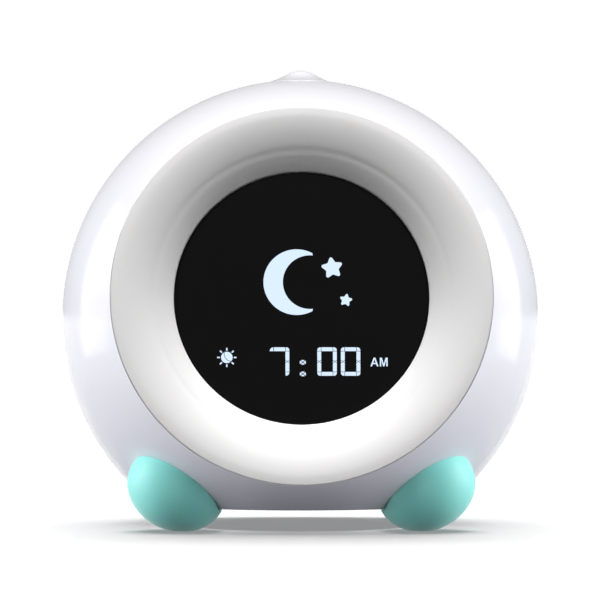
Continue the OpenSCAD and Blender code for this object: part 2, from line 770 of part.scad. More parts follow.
module main_board() {
    color("#1f5a3c") on_back() translate([0, 0, panel_in - main_d - board_t]) difference() {
        translate([-main_w / 2, main_bottom, 0]) cube([main_w, main_top - main_bottom, board_t]);
        for (p = main_posts) translate([p[0], p[1], -1]) cylinder(r = tapping_r + 0.3, h = board_t + 2, $fn = 32);
    }
}

module board_chips() {
    color("#1b1b1d") on_back() translate([0, 0, panel_in - main_d + seat_gap]) {
        translate([-6, -9, 0]) cube([12, 12, 1.6]);
        translate([-20, -14, 0]) cube([8, 5, 1.5]);
        translate([12, -18, 0]) cube([9, 4, 3]);
        translate([14, 2, 0]) cube([6, 3, 3.4]);
        for (x = [-14, -8, 8]) translate([x, -24, 0]) cylinder(r = 3, h = 6, $fn = 48);
    }
}

module board_screws() {
    color("#b9bcc0") on_back() for (p = main_posts)
        translate([p[0], p[1], panel_in - main_d - board_t - seat_gap]) screw(2, 1.4, tapping_r - bite_gap, 7);
}

// ---- base plate, battery bay and door ----

module base_plate() {
    color("#eeedf1") at_body() difference() {
        union() {
            translate([0, 0, -belly_d]) cylinder(r = base_r, h = base_t);
            translate([-bay_l / 2 - bay_wall, -bay_w / 2 - bay_wall, -belly_d])
                cube([bay_l + 2 * bay_wall, bay_w + 2 * bay_wall, bay_top + bay_wall + belly_d]);
            // shelf that the door's screw bites
            translate([-9, bay_w / 2 + bay_wall - 0.5, -belly_d]) cube([18, 6.6, belly_d + shelf_z + 6]);
        }
        translate([-bay_l / 2, -bay_w / 2, -belly_d - 1]) cube([bay_l, bay_w, bay_top + belly_d + 1]);
        // the door's tongue lies under the shelf
        translate([-7.3, bay_w / 2 - 1, -belly_d - 1]) cube([14.6, 6.8, shelf_z + belly_d + 1]);
        translate([0, door_screw_y, -belly_d]) cylinder(r = 1.8, h = 7, $fn = 48);
        // holes for the door's hinge pins
        translate([-bay_l / 2 - 1.2, hinge_y, hinge_z]) rotate([0, 90, 0])
            cylinder(r = pin_r + 0.06, h = bay_l + 2.4, $fn = 32);
        for (back = [-1, 1], turn = lug_turn) rotate([0, 0, back * turn]) translate([lug_x, 0, -belly_d - 1]) {
            cylinder(r = tapping_r + 0.3, h = 10, $fn = 32);
            cylinder(r = 2.6, h = 2, $fn = 48);
        }
    }
}

module base_screws() {
    color("#b9bcc0") at_body() for (back = [-1, 1], turn = lug_turn) rotate([0, 0, back * turn])
        translate([lug_x, 0, -belly_d + 1 - seat_gap]) screw(2.3, 0.9, tapping_r, 5);
}

module battery_door() {
    door_l = bay_l - 2 * door_gap;
    far_y = bay_w / 2 - door_gap;
    color("#e9e8ec") at_body() difference() {
        union() {
            translate([-door_l / 2, hinge_y, -belly_d]) cube([door_l, far_y - hinge_y, door_t]);
            translate([-7, far_y - 1, -belly_d]) cube([14, 6.4, door_t]);
            // rounded hinge edge and its two pins
            translate([-door_l / 2, hinge_y, hinge_z]) rotate([0, 90, 0]) {
                cylinder(r = door_t / 2 - 0.03, h = door_l, $fn = 48);
                translate([0, 0, -door_gap - 1]) cylinder(r = pin_r, h = door_l + 2 * door_gap + 2, $fn = 32);
            }
        }
        translate([0, door_screw_y, -belly_d - 1]) {
            cylinder(r = 1.5, h = 6, $fn = 32);
            cylinder(r = 2.7, h = 1.9, $fn = 48);
        }
        // finger dent beside the tongue
        translate([0, far_y - 6, -belly_d - 5.2]) sphere(6);
    }
}

module door_screw() {
    color("#b9bcc0") at_body() translate([0, door_screw_y, -belly_d + 0.9 - seat_gap]) screw(2.4, 0.8, 1.2, 4.6);
}

// the two outer cells point one way, the middle one the other
module battery_cells() {
    color("#c98a3a") at_body() for (k = [-1, 0, 1]) {
        way = k == 0 ? -1 : 1;
        translate([way * (5 - 0.9) / 2, k * cell_step, cell_z]) rotate([0, 90 * way, 0])
            translate([0, 0, -cell_l / 2]) {
                cylinder(r = cell_r, h = cell_l - 1);
                cylinder(r = 1.9, h = cell_l, $fn = 48);
            }
    }
}

module contact_plates() {
    color("#d8d4c4") at_body() for (s = [-1, 1], k = [-1, 0, 1])
        translate([s * (bay_l / 2 - seat_gap - 0.2), k * cell_step, cell_z]) cube([0.4, 8, 8], center = true);
}

module contact_springs() {
    color("#d8d4c4") at_body() for (k = [-1, 0, 1]) {
        way = k == 0 ? -1 : 1;
        free = bay_l / 2 - seat_gap - 0.4 - cell_l / 2 + 2.05;
        translate([-way * (bay_l / 2 - seat_gap - 0.4), k * cell_step, cell_z]) rotate([0, 90 * way, 0])
            coil(3, 0.35, free, 3);
    }
}

// ---- top button ----

module button_outline() {
    difference() {
        translate([0, flange_top - 2]) square([button_r, cap_z - flange_top + 2]);
        translate([flank_x, flank_z]) circle(flank_r);
    }
    intersection() {
        translate([0, button_top - cap_r]) circle(cap_r);
        translate([0, cap_z - 0.05]) square([cap_r, 10]);
    }
    translate([0, flange_top - 2]) square([flange_r, 2]);
    translate([0, flange_top - 3.5]) square([button_r, 2]);
}

module top_button() {
    color("#f2f1f6") at_body() {
        difference() {
            rotate_extrude() button_outline();
            translate([0, 0, flange_top - 5]) cylinder(r = button_r - 1.8, h = roof_z - flange_top + 5);
        }
        translate([0, 0, stem_low]) cylinder(r = stem_r, h = roof_z - stem_low + 0.5, $fn = 48);
    }
}

module button_spring() {
    color("#c4c6c9") at_body() translate([0, 0, cup_floor + 1.5 + seat_gap])
        coil(4.6, 0.45, roof_z - cup_floor - 1.5 - 2 * seat_gap, 5);
}

module button_guide() {
    color("#e4e3e8") at_body() {
        difference() {
            union() {
                translate([0, 0, cup_floor]) cylinder(r = cup_out, h = cup_top - cup_floor);
                translate([-ear_x - 3.6, -4, cup_floor + 2]) cube([2 * ear_x + 7.2, 8, 2]);
                for (s = [-1, 1]) translate([s * 7, 0, cup_floor - 6]) cylinder(r = 1.9, h = 6.5, $fn = 48);
            }
            translate([0, 0, cup_floor + 1.5]) cylinder(r = cup_in, h = 20);
            translate([0, 0, cup_floor - 1]) cylinder(r = stem_r + 0.4, h = 5, $fn = 48);
            for (s = [-1, 1]) {
                translate([s * ear_x, 0, cup_floor]) cylinder(r = tapping_r + 0.3, h = 6, $fn = 32);
                translate([s * 7, 0, cup_floor - 7]) cylinder(r = 0.9, h = 6, $fn = 32);
            }
        }
    }
}

module guide_screws() {
    color("#b9bcc0") at_body() for (s = [-1, 1])
        translate([s * ear_x, 0, cup_floor + 2 - seat_gap]) screw(2.3, 1.6, tapping_r, 5.6);
}

module button_board() {
    color("#1f5a3c") at_body() translate([0, 0, button_board_z]) difference() {
        translate([-10, -6, 0]) cube([20, 12, board_t]);
        for (s = [-1, 1]) translate([s * 7, 0, -1]) cylinder(r = 1.2, h = board_t + 2, $fn = 32);
    }
}

module button_switch() {
    color("#2b2b2d") at_body() translate([0, 0, button_board_z + board_t + seat_gap]) difference() {
        translate([-3, -3, 0]) cube([6, 6, switch_h]);
        translate([0, 0, switch_h - well_d]) cylinder(r = stem_r + 0.25, h = well_d + 1, $fn = 48);
    }
}

module button_board_screws() {
    color("#b9bcc0") at_body() for (s = [-1, 1])
        translate([s * 7, 0, button_board_z - seat_gap]) screw(1.8, 1.2, 0.85, 5.4);
}

// ---- feet ----

// a soft foot: an egg cut by the body's surface and by the table
module foot(sx, sy) {
    k = sy < 0 ? 1 : rear_foot_scale;
    p = foot_at(sx, sy);
    color("#7fd0ca") at_body() difference() {
        intersection() {
            translate(p) rotate([0, -sx * foot_slope, 0]) scale([foot_a * k / 10, foot_b * k / 10, foot_b * k / 10])
                sphere(10);
            translate([-100, -100, -floor_d]) cube([200, 200, floor_d]);
        }
        rotate_extrude() round_outline(body_r + seat_gap, belly_d + seat_gap, belly_round);
        toward(p) translate([0, 0, body_r - 1]) cylinder(r = tapping_r + bite_gap, h = 7.4, $fn = 32);
    }
}
module front_foot_left() foot(-1, -1);
module front_foot_right() foot(1, -1);
module rear_foot_left() foot(-1, 1);
module rear_foot_right() foot(1, 1);

module foot_screws() {
    color("#b9bcc0") at_body() for (sx = [-1, 1], sy = [-1, 1]) toward(foot_at(sx, sy))
        translate([0, 0, inner_r - 0.1]) screw(2.4, 1.8, tapping_r, 8);
}

module shell_screws() {
    color("#b9bcc0") on_back() for (t = shell_screw_turn) rotate([0, 0, t])
        translate([shell_screw_x, 0, shell_seat + seat_gap]) mirror([0, 0, 1])
            screw(2.8, 2, shell_tapping_r, 15);
}

// ---- wiring ----

module battery_lead() {
    top = bay_top + bay_wall + 0.9;
    for (s = [0, 1]) color(s == 0 ? "#b3262b" : "#202022") at_body() wire([
        [-12 - 3 * s, 8, top], [-12 - 3 * s, 12, top + 5],
        [-12 - 3 * s, main_y - 4, main_bottom], [-12 - 3 * s, main_y - 0.9, main_bottom + 5]
    ], 0.6);
}

// flat two-core lead from the speaker's frame to the main board
module speaker_lead() {
    low_y = main_y + board_t + 0.3;
    color("#e0e0e2") at_body() translate([0, 0, speaker_z - 2]) linear_extrude(3.2) polygon([
        [-13, panel_in - 8.2], [-15.5, panel_in - 10], [-23, low_y + 2.4], [-27, low_y], [-27, low_y + 1],
        [-22.6, low_y + 3.4], [-15, panel_in - 9], [-13, panel_in - 7.2]
    ]);
}

// flat two-core lead between the button's board and the main board
module button_lead() {
    top = button_board_z - 0.3;
    color("#e0e0e2") at_body() translate([-1.6, 0, 0]) rotate([90, 0, 90]) linear_extrude(3.2) polygon([
        [2, top], [5, top], [8, top - 7], [main_y - 3, main_top + 9], [main_y - 0.3, main_top],
        [main_y - 0.3, main_top - 5], [main_y - 1.3, main_top - 5], [main_y - 1.4, main_top - 0.4],
        [main_y - 4, main_top + 8.4], [7, top - 7.2], [4.3, top - 1], [2, top - 1]
    ]);
}

// flat cable between the display's board and the main board
module display_ribbon() {
    p = on_face_point(0, -12, board_top - board_t - 0.3);
    q = on_face_point(0, -14, board_top - board_t - 0.3);
    color("#cfcfd2") at_body() translate([-6, 0, 0]) rotate([90, 0, 90]) linear_extrude(12) polygon([
        [p[1], p[2]], [-8, p[2] - 3], [main_y - 0.3, -16], [main_y - 0.3, -17.4], [-8, p[2] - 3.8], [q[1], q[2]]
    ]);
}

// flat cable between the keys' board and the main board
module key_ribbon() {
    top_y = panel_in - key_board_d - board_t - 0.3;
    low_y = main_y + board_t + 0.3;
    color("#cfcfd2") at_body() translate([8, 0, 0]) rotate([90, 0, 90]) linear_extrude(8) polygon([
        [top_y, key_post_x + 3], [top_y - 5, key_post_x], [low_y, 11], [low_y, 9.6],
        [top_y - 4.4, key_post_x - 1], [top_y, key_post_x + 1.6]
    ]);
}

front_shell();
rear_shell();
bezel_ring();
display_lens();
segment_film();
segment_housing();
display_board();
display_leds();
glow_board();
glow_leds();
display_screws();
bezel_screws();
rear_panel();
panel_screws();
key_volume_down();
key_volume_up();
key_sound();
key_light();
key_nap();
key_sleep();
key_alarm();
key_clock();
key_board();
key_switches();
key_board_screws();
speaker_gasket();
speaker_frame();
speaker_cone();
speaker_magnet();
speaker_screws();
usb_socket();
usb_board();
main_board();
board_chips();
board_screws();
base_plate();
base_screws();
battery_door();
door_screw();
battery_cells();
contact_plates();
contact_springs();
top_button();
button_spring();
button_guide();
guide_screws();
button_board();
button_switch();
button_board_screws();
front_foot_left();
front_foot_right();
rear_foot_left();
rear_foot_right();
foot_screws();
shell_screws();
battery_lead();
speaker_lead();
button_lead();
display_ribbon();
key_ribbon();
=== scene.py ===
"""Kids' alarm clock with a night light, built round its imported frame."""
import math

import bmesh
import bpy
from mathutils import Matrix, Vector


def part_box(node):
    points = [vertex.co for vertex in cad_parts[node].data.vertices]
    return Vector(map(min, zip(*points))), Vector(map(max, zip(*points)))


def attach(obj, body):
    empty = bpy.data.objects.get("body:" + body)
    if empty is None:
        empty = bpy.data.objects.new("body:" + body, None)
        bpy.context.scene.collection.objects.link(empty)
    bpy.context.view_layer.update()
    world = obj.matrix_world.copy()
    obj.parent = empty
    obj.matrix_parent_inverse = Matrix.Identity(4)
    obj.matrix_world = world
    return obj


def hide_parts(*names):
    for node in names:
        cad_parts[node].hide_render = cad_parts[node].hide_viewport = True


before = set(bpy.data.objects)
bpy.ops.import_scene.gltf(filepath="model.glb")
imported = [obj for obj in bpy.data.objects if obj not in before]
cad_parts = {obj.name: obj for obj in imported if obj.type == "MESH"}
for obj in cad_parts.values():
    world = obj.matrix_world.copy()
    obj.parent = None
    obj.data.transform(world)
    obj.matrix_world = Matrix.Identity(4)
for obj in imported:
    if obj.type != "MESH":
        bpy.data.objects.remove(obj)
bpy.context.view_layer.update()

# ---- Camera ----
# A long lens almost level with the clock, as in the photo: the body's middle lies a little under
# the middle of the 600 x 600 frame. The body's radius and middle come from the frame's boxes.
RADIUS = 0.075
BACK = 0.050
BUTTON_RISE = 0.0029
BODY = Vector((0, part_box("rear_shell")[1][1] - BACK,
               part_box("top_button")[1][2] - RADIUS - BUTTON_RISE))
CAMERA_AWAY = 1.4
CAMERA_RISE = math.radians(0.27)
CAMERA_TURN = math.radians(0.56)
CAMERA_AIM = Vector((-0.0001, 0, 0.00553))
PHOTO_PIXELS = 600
PIXELS_PER_METRE = 3167
SENSOR = 36
camera_data = bpy.data.cameras.new("camera")
camera_data.sensor_width = SENSOR
camera_data.lens = SENSOR * CAMERA_AWAY * PIXELS_PER_METRE / PHOTO_PIXELS
camera_data.clip_end = 20
camera = bpy.data.objects.new("camera", camera_data)
bpy.context.scene.collection.objects.link(camera)
aim = BODY + CAMERA_AIM
towards_camera = Vector((-math.sin(CAMERA_TURN), -math.cos(CAMERA_TURN) * math.cos(CAMERA_RISE),
                         math.sin(CAMERA_RISE)))
camera.location = aim + CAMERA_AWAY * towards_camera
camera.rotation_euler = (aim - camera.location).to_track_quat("-Z", "Y").to_euler()
bpy.context.scene.camera = camera

# ---- Body shells ----
# Two injection-moulded halves of glossy white ABS. They meet in a plain butt joint behind the
# body's widest place, with a tongue inside, and four long screws from behind hold them.
WALL = 0.0024
BELLY = 0.0586
BELLY_ROUND = 0.003
BACK_ROUND = 0.0014
SEAM = 0.016
SEAM_GAP = 0.0003
SEAM_ROUND = 0.0002
FACE_TILT = math.radians(9)
RING_OPENING = 0.0585
RIM = math.sqrt(RADIUS ** 2 - RING_OPENING ** 2)
BASE_OPENING = 0.0357
PANEL_RADIUS = 0.050
PANEL_GAP = 0.0002
BUTTON_RADIUS = 0.0092
BUTTON_GAP = 0.0001
BUTTON_EDGE = RADIUS - 0.00055
SCREW_RING = 0.065
SCREW_TURNS = (38, 142, 218, 322)
SCREW_HOLE = 0.0033
SHELL_STEPS = 288

# how far the cutters reach past a surface, and into the body behind it
OVERCUT = 0.002
CUT_DEPTH = 0.008
CUT_PAST = 0.01
FACE_CUT_DEPTH = 0.012
PLUG_HEAD = 0.04

at_body = Matrix.Translation(BODY)
tilted = Matrix.Rotation(math.pi / 2 - FACE_TILT, 4, "X")
turned_back = Matrix.Rotation(math.pi, 4, "Z") @ Matrix.Rotation(math.pi / 2, 4, "X")
on_face = at_body @ tilted
on_back = at_body @ turned_back


def turned_about(axis_turn, *rest):
    """A place round the local Z axis, turned by degrees and then moved."""
    return Matrix.Rotation(math.radians(axis_turn), 4, "Z") @ Matrix.Translation(Vector(rest))


def arc(centre, radius, start, end, steps):
    """Points on an arc, its angles in degrees."""
    angles = [math.radians(start + (end - start) * i / steps) for i in range(steps + 1)]
    return [(centre[0] + radius * math.cos(a), centre[1] + radius * math.sin(a)) for a in angles]


def spun(outline, steps, closed=False):
    """A surface of revolution round Z from (radius, height) points."""
    bm = bmesh.new()
    verts = [bm.verts.new((max(r, 0), 0, h)) for r, h in outline]
    pairs = list(zip(verts, verts[1:])) + ([(verts[-1], verts[0])] if closed else [])
    edges = [bm.edges.new(pair) for pair in pairs]
    bmesh.ops.spin(bm, geom=verts + edges, axis=(0, 0, 1), cent=(0, 0, 0), angle=2 * math.pi,
                   steps=steps, use_merge=True)
    bmesh.ops.remove_doubles(bm, verts=bm.verts, dist=1e-7)
    bmesh.ops.recalc_face_normals(bm, faces=bm.faces)
    return bm


def make_object(bm, name, place=None):
    """A finished object at the origin from a bmesh, its place in its mesh."""
    if place is not None:
        bmesh.ops.transform(bm, matrix=place, verts=bm.verts)
    mesh = bpy.data.meshes.new(name)
    bm.to_mesh(mesh)
    bm.free()
    obj = bpy.data.objects.new(name, mesh)
    bpy.context.scene.collection.objects.link(obj)
    return obj


def smooth(obj, sharp=35):
    """Smooth shading that keeps edges sharper than an angle."""
    for polygon in obj.data.polygons:
        polygon.use_smooth = True
    obj.data.set_sharp_from_angle(angle=math.radians(sharp))
    return obj


def settle(obj):
    """Replaces an object's mesh by the one its modifiers give."""
    shaped = bpy.data.meshes.new_from_object(obj.evaluated_get(bpy.context.evaluated_depsgraph_get()))
    obj.modifiers.clear()
    obj.data = shaped


def carve(obj, *cutters, solver="EXACT"):
    """Cuts the cutters out of an object and removes them."""
    for cutter in cutters:
        cut = obj.modifiers.new("cut", "BOOLEAN")
        cut.operation = "DIFFERENCE"
        cut.solver = solver
        cut.object = cutter
    settle(obj)
    for cutter in cutters:
        bpy.data.objects.remove(cutter)
    return obj


def ball_outline(radius, belly, edge, steps):
    """Half outline of the round body from its top to its flat underside."""
    if edge == 0:
        low = -math.degrees(math.asin(belly / radius))
        return arc((0, 0), radius, 90, low, steps) + [(0, -belly)]
    x = math.sqrt((radius - edge) ** 2 - (belly - edge) ** 2)
    low = -math.degrees(math.atan2(belly - edge, x))
    turn_in = arc((x, edge - belly), edge, low, -90, 8)
    return arc((0, 0), radius, 90, low, steps) + turn_in[1:] + [(0, -belly)]


def cap_cut(bm, point, normal):
    """Cuts a closed shape by a plane, keeps what is behind it and closes it."""
    cut = bmesh.ops.bisect_plane(bm, geom=bm.verts[:] + bm.edges[:] + bm.faces[:], dist=1e-7,
                                 plane_co=point, plane_no=normal, clear_outer=True)
    rim = [e for e in cut["geom_cut"] if isinstance(e, bmesh.types.BMEdge)]
    bmesh.ops.holes_fill(bm, edges=rim)
    return rim


def half_body(back, radius, belly, edge, steps, to_y, flat_y):
    """One half of the round body as a closed solid, from the seam to its far side."""
    bm = spun(ball_outline(radius, belly, edge, steps // 2), steps)
    if back:
        rim = cap_cut(bm, (0, flat_y, 0), (0, 1, 0))
        if edge:
            bmesh.ops.bevel(bm, geom=rim, affect="EDGES", offset=BACK_ROUND, segments=4, profile=0.5,
                            material=-1, offset_type="OFFSET")
    seam = cap_cut(bm, (0, to_y, 0), (0, -1 if back else 1, 0))
    if edge:
        bmesh.ops.bevel(bm, geom=seam, affect="EDGES", offset=SEAM_ROUND, segments=2, profile=0.5,
                        material=-1, offset_type="OFFSET")
    if back:
        # the flat ends become triangles, so that they are cut cleanly
        bmesh.ops.triangulate(bm, faces=[face for face in bm.faces if len(face.verts) > 4])
    return bm


def shell(back, name):
    """A body half, hollowed to the wall's thickness."""
    side = 1 if back else -1
    edge = SEAM + side * SEAM_GAP / 2
    outer = half_body(back, RADIUS, BELLY, BELLY_ROUND, SHELL_STEPS, edge, BACK)
    inner = half_body(back, RADIUS - WALL, BELLY - WALL, 0, SHELL_STEPS // 2,
                      edge - side * OVERCUT, BACK - WALL)
    obj = make_object(outer, name)
    return carve(obj, make_object(inner, "hollow"), solver="MANIFOLD" if back else "EXACT")


def plug(radius, low, high, flare=0, steps=128):
    """A round cutter along Z, with an optional flare that softens the edge it leaves."""
    outline = [(0, low), (radius, low), (radius, high), (0, high)]
    if flare:
        outline = [(0, low), (radius, low), (radius, high - flare),
                   (radius + 0.25 * flare, high - 0.45 * flare), (radius + flare, high + 0.05 * flare),
                   (radius + flare, high + PLUG_HEAD), (0, high + PLUG_HEAD)]
    return spun(outline, steps)


def base_cutter():
    """A cutter for the round opening in the flat underside, which the base plate fills."""
    return make_object(plug(BASE_OPENING, -BELLY - CUT_PAST, -BELLY + CUT_DEPTH), "base_cut")


def polish(obj):
    """Gives the round outside the exact normals of a ball, so that gloss runs over it cleanly."""
    facing_out, on_the_ball = 0.999, 3e-5
    smooth(obj)
    mesh = obj.data
    normals = [Vector(n.vector) for n in mesh.corner_normals]
    for polygon in mesh.polygons:
        if polygon.normal.dot(polygon.center.normalized()) < facing_out:
            continue
        for corner in polygon.loop_indices:
            out = mesh.vertices[mesh.loops[corner].vertex_index].co
            if abs(out.length - RADIUS) < on_the_ball:
                normals[corner] = out.normalized()
    mesh.normals_split_custom_set(normals)


front_shell = shell(False, "front_shell_skin")
face_plug = plug(RING_OPENING, RIM - FACE_CUT_DEPTH, RIM - 0.0001, flare=0.0002, steps=256)
button_plug = plug(BUTTON_RADIUS + BUTTON_GAP, RADIUS - CUT_DEPTH, BUTTON_EDGE, flare=0.0001)
carve(front_shell, make_object(face_plug, "face_cut", tilted), base_cutter(),
      make_object(button_plug, "button_cut"))
polish(front_shell)

rear_shell = shell(True, "rear_shell_skin")
panel_plug = plug(PANEL_RADIUS + PANEL_GAP, BACK - 0.006, BACK, flare=0.0003, steps=192)
screw_cuts = [make_object(plug(SCREW_HOLE, SEAM + 0.004, BACK + CUT_PAST, steps=48), "screw_cut",
                          turned_back @ turned_about(turn, SCREW_RING, 0, 0)) for turn in SCREW_TURNS]
carve(rear_shell, make_object(panel_plug, "panel_cut", turned_back), base_cutter(), *screw_cuts,
      solver="MANIFOLD")
polish(rear_shell)
for half in (front_shell, rear_shell):
    half.data.transform(at_body)


class Wire:
    """A node socket that adds Math nodes when it is used in an expression."""

    def __init__(self, tree, socket):
        self.tree, self.socket = tree, socket

    def join(self, operation, *values):
        node = self.tree.nodes.new("ShaderNodeMath")
        node.operation = operation
        for slot, value in zip(node.inputs, values):
            if isinstance(value, Wire):
                self.tree.links.new(value.socket, slot)
            else:
                slot.default_value = value
        return Wire(self.tree, node.outputs[0])

    def __add__(self, other):
        return self.join("ADD", self, other)

    def __sub__(self, other):
        return self.join("SUBTRACT", self, other)

    def __rsub__(self, other):
        return self.join("SUBTRACT", other, self)

    def __mul__(self, other):
        return self.join("MULTIPLY", self, other)

    __radd__, __rmul__ = __add__, __mul__


class Finish:
    """A material on the standard shader, with one method for every other node."""

    def __init__(self, name, colour, roughness, **constants):
        self.material = bpy.data.materials.new(name)
        self.material.use_nodes = True
        self.material.diffuse_color = (*colour, 1)
        self.tree = self.material.node_tree
        self.shader = self.tree.nodes["Principled BSDF"]
        self.shader.inputs["Base Color"].default_value = (*colour, 1)
        self.shader.inputs["Roughness"].default_value = roughness
        for socket, value in constants.items():
            self.shader.inputs[socket.replace("_", " ")].default_value = value
        self.object_place = self.node("ShaderNodeTexCoord", output="Object")

    def node(self, kind, settings=None, output=0, **inputs):
        node = self.tree.nodes.new(kind)
        for key, value in (settings or {}).items():
            setattr(node, key, value)
        for key, value in inputs.items():
            slot = node.inputs[key.replace("_", " ")]
            if isinstance(value, Wire):
                self.tree.links.new(value.socket, slot)
            else:
                slot.default_value = value
        return Wire(self.tree, node.outputs[output])

    def noise(self, scale, detail=2.0, roughness=0.5):
        return self.node("ShaderNodeTexNoise", output="Fac", Vector=self.object_place, Scale=scale,
                         Detail=detail, Roughness=roughness)

    def blend(self, factor, first, second):
        mix = self.tree.nodes.new("ShaderNodeMix")
        mix.data_type = "RGBA"
        for slot, value in ((mix.inputs[0], factor), (mix.inputs[6], first), (mix.inputs[7], second)):
            if isinstance(value, Wire):
                self.tree.links.new(value.socket, slot)
            else:
                slot.default_value = value if slot == mix.inputs[0] else (*value, 1)
        return Wire(self.tree, mix.outputs[2])

    def feed(self, socket, wire):
        self.tree.links.new(wire.socket, self.shader.inputs[socket])
        return self

    def bump(self, height, depth, distance=0.001):
        return self.feed("Normal", self.node("ShaderNodeBump", output="Normal", Height=height,
                                             Strength=depth, Distance=distance))

    def on(self, *objects):
        for obj in objects:
            if not obj.material_slots:
                obj.data.materials.append(self.material)
            for slot in obj.material_slots:
                slot.material = self.material


def grained(name, colour, shade, roughness, grain=900, depth=0.05, spread=0.06, **constants):
    """Moulded plastic or rubber: fine grain, and colour and gloss that drift a little."""
    finish = Finish(name, colour, roughness, **constants)
    drift = finish.noise(26, 3)
    finish.feed("Base Color", finish.blend(drift, colour, shade))
    finish.feed("Roughness", finish.noise(grain * 0.2, 3) * spread + (roughness - spread / 2))
    return finish.bump(finish.noise(grain, 3), depth, 0.0003)


shell_gloss = grained("glossy white housing", (0.84, 0.835, 0.87), (0.82, 0.815, 0.85), 0.13,
                      grain=420, depth=0.01, spread=0.03)
shell_gloss.on(front_shell, rear_shell)
for half, node in ((front_shell, "front_shell"), (rear_shell, "rear_shell")):
    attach(half, "clock")
    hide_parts(node)

# ---- Ring round the display ----
# A satin white moulded ring, sunk in the face opening: a narrow flat lip at the shell, then a wide
# smooth curve down to the lens. It glows as the night light, and four screws hold it from inside.
DISPLAY_RADIUS = 0.0392
LENS_FRONT = RIM - 0.0069
LENS_THICK = 0.002
LENS_TOUCH = LENS_FRONT + 0.00005
RING_CURVE = 0.032
RING_SKIN = 0.0022
RING_EDGE = RING_OPENING - 0.00004
RING_FOOT = RIM - 0.00635
LIP_TOP = RIM + 0.00015
LIP_FLAT, LIP_ROUND = 0.0006, 0.0002
GROOVE_RADIUS, GROOVE_WIDTH, GROOVE_DEPTH = 0.0454, 0.0010, 0.00008
COLLAR_OUT, COLLAR_IN, COLLAR_END = 0.0435, 0.0417, LENS_FRONT - 0.003
start = Vector((0.0548, LIP_TOP - 0.0001))
inner_edge = Vector((DISPLAY_RADIUS, LENS_FRONT + 0.0008))
run = start - inner_edge
sag = math.sqrt(RING_CURVE ** 2 - run.length ** 2 / 4)
curve_middle = (start + inner_edge) / 2 + sag * Vector((run.y, -run.x)) / run.length


def curve_angle(point):
    """Where a point lies on the ring's curve, in degrees."""
    return math.degrees(math.atan2(point.y - curve_middle.y, point.x - curve_middle.x))


def under(x):
    """Height of the skin's underside at a radius."""
    return curve_middle.y + math.sqrt((RING_CURVE - RING_SKIN) ** 2 - (x - curve_middle.x) ** 2)


edge_turn = curve_angle(inner_edge)
ring_outline = [(DISPLAY_RADIUS, LENS_TOUCH), (DISPLAY_RADIUS, inner_edge.y - 0.00025)]
for x, y in arc(curve_middle, RING_CURVE, edge_turn - 0.5, curve_angle(start), 90):
    # a faint groove runs round the curve
    ring_outline.append((x, y - GROOVE_DEPTH * math.exp(-((x - GROOVE_RADIUS) / GROOVE_WIDTH) ** 2)))
# a soft turn into the narrow flat lip, then the lip's rounded outer edge and the wall under it
turn = Vector((start.x + (LIP_TOP - start.y) / math.tan(math.radians(curve_angle(start) - 90)), LIP_TOP))
lip = Vector((turn.x + LIP_FLAT, LIP_TOP))
ring_outline += [start.lerp(turn, t / 8).lerp(turn.lerp(lip, t / 8), t / 8)[:] for t in range(1, 9)]
ring_outline += arc((RING_EDGE - LIP_ROUND, LIP_TOP - LIP_ROUND), LIP_ROUND, 90, 0, 8)
ring_outline += [(RING_EDGE, RING_FOOT), (0.0556, RING_FOOT)]
ring_outline += [(x / 1000, under(x / 1000)) for x in (55.4, 54, 52, 50, 48, 46, 44.5, 43.5)]
ring_outline += [(COLLAR_OUT, COLLAR_END), (COLLAR_IN, COLLAR_END), (COLLAR_IN, LENS_TOUCH)]
ring = smooth(make_object(spun(ring_outline, 320, closed=True), "display_ring", on_face), 30)
ring_satin = grained("satin white ring", (0.82, 0.81, 0.81), (0.79, 0.78, 0.78), 0.42,
                     grain=600, depth=0.02, spread=0.06)
ring_satin.on(ring)
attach(ring, "clock")
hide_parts("bezel_ring")

# ---- Lens ----
# A round window of black-tinted acrylic with an anti-glare face, held between the ring and the
# block behind it.
LENS_RADIUS, LENS_ROUND = 0.0415, 0.0002
lens_back = LENS_FRONT - LENS_THICK
lens_outline = [(0, lens_back), (LENS_RADIUS - LENS_ROUND, lens_back),
                (LENS_RADIUS, lens_back + LENS_ROUND), (LENS_RADIUS, LENS_FRONT - LENS_ROUND),
                (LENS_RADIUS - LENS_ROUND, LENS_FRONT), (0, LENS_FRONT)]
lens = smooth(make_object(spun(lens_outline, 192), "lens_disc", on_face), 30)
lens_black = grained("black tinted lens", (0.0043, 0.0043, 0.0045), (0.0039, 0.0039, 0.0041), 0.32,
                     grain=900, depth=0.01, spread=0.04, Specular_IOR_Level=0.05)
lens_black.on(lens)
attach(lens, "clock")
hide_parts("display_lens")

# ---- Lit display ----
# What shines through the lens: the time, AM, a small sun, and a moon with two stars. They are
# thin light-blue windows of the segment block, shown as lit shapes on the lens's face.
LIT_RISE = 0.00004
LIT_THICK = 0.00003
glow = Finish("lit blue", (0.68, 0.86, 0.98), 0.5, Emission_Strength=1.0)
glow.feed("Emission Color", glow.blend(glow.noise(60, 2), (0.64, 0.79, 0.975), (0.68, 0.81, 0.985)))
glow.feed("Base Color", glow.blend(glow.noise(60, 2), (0.02, 0.03, 0.04), (0.03, 0.04, 0.05)))
glow.bump(glow.noise(700, 2), 0.02, 0.0002)


def flat_face(bm, outline):
    """A flat face from (x, y) points in millimetres."""
    return bm.faces.new([bm.verts.new((x / 1000, y / 1000, 0)) for x, y in outline])


def lift(bm, faces, height):
    """Gives flat faces a thickness."""
    raised = bmesh.ops.extrude_face_region(bm, geom=faces)["geom"]
    raised_verts = [v for v in raised if isinstance(v, bmesh.types.BMVert)]
    bmesh.ops.translate(bm, vec=(0, 0, height), verts=raised_verts)
    bmesh.ops.recalc_face_normals(bm, faces=bm.faces)


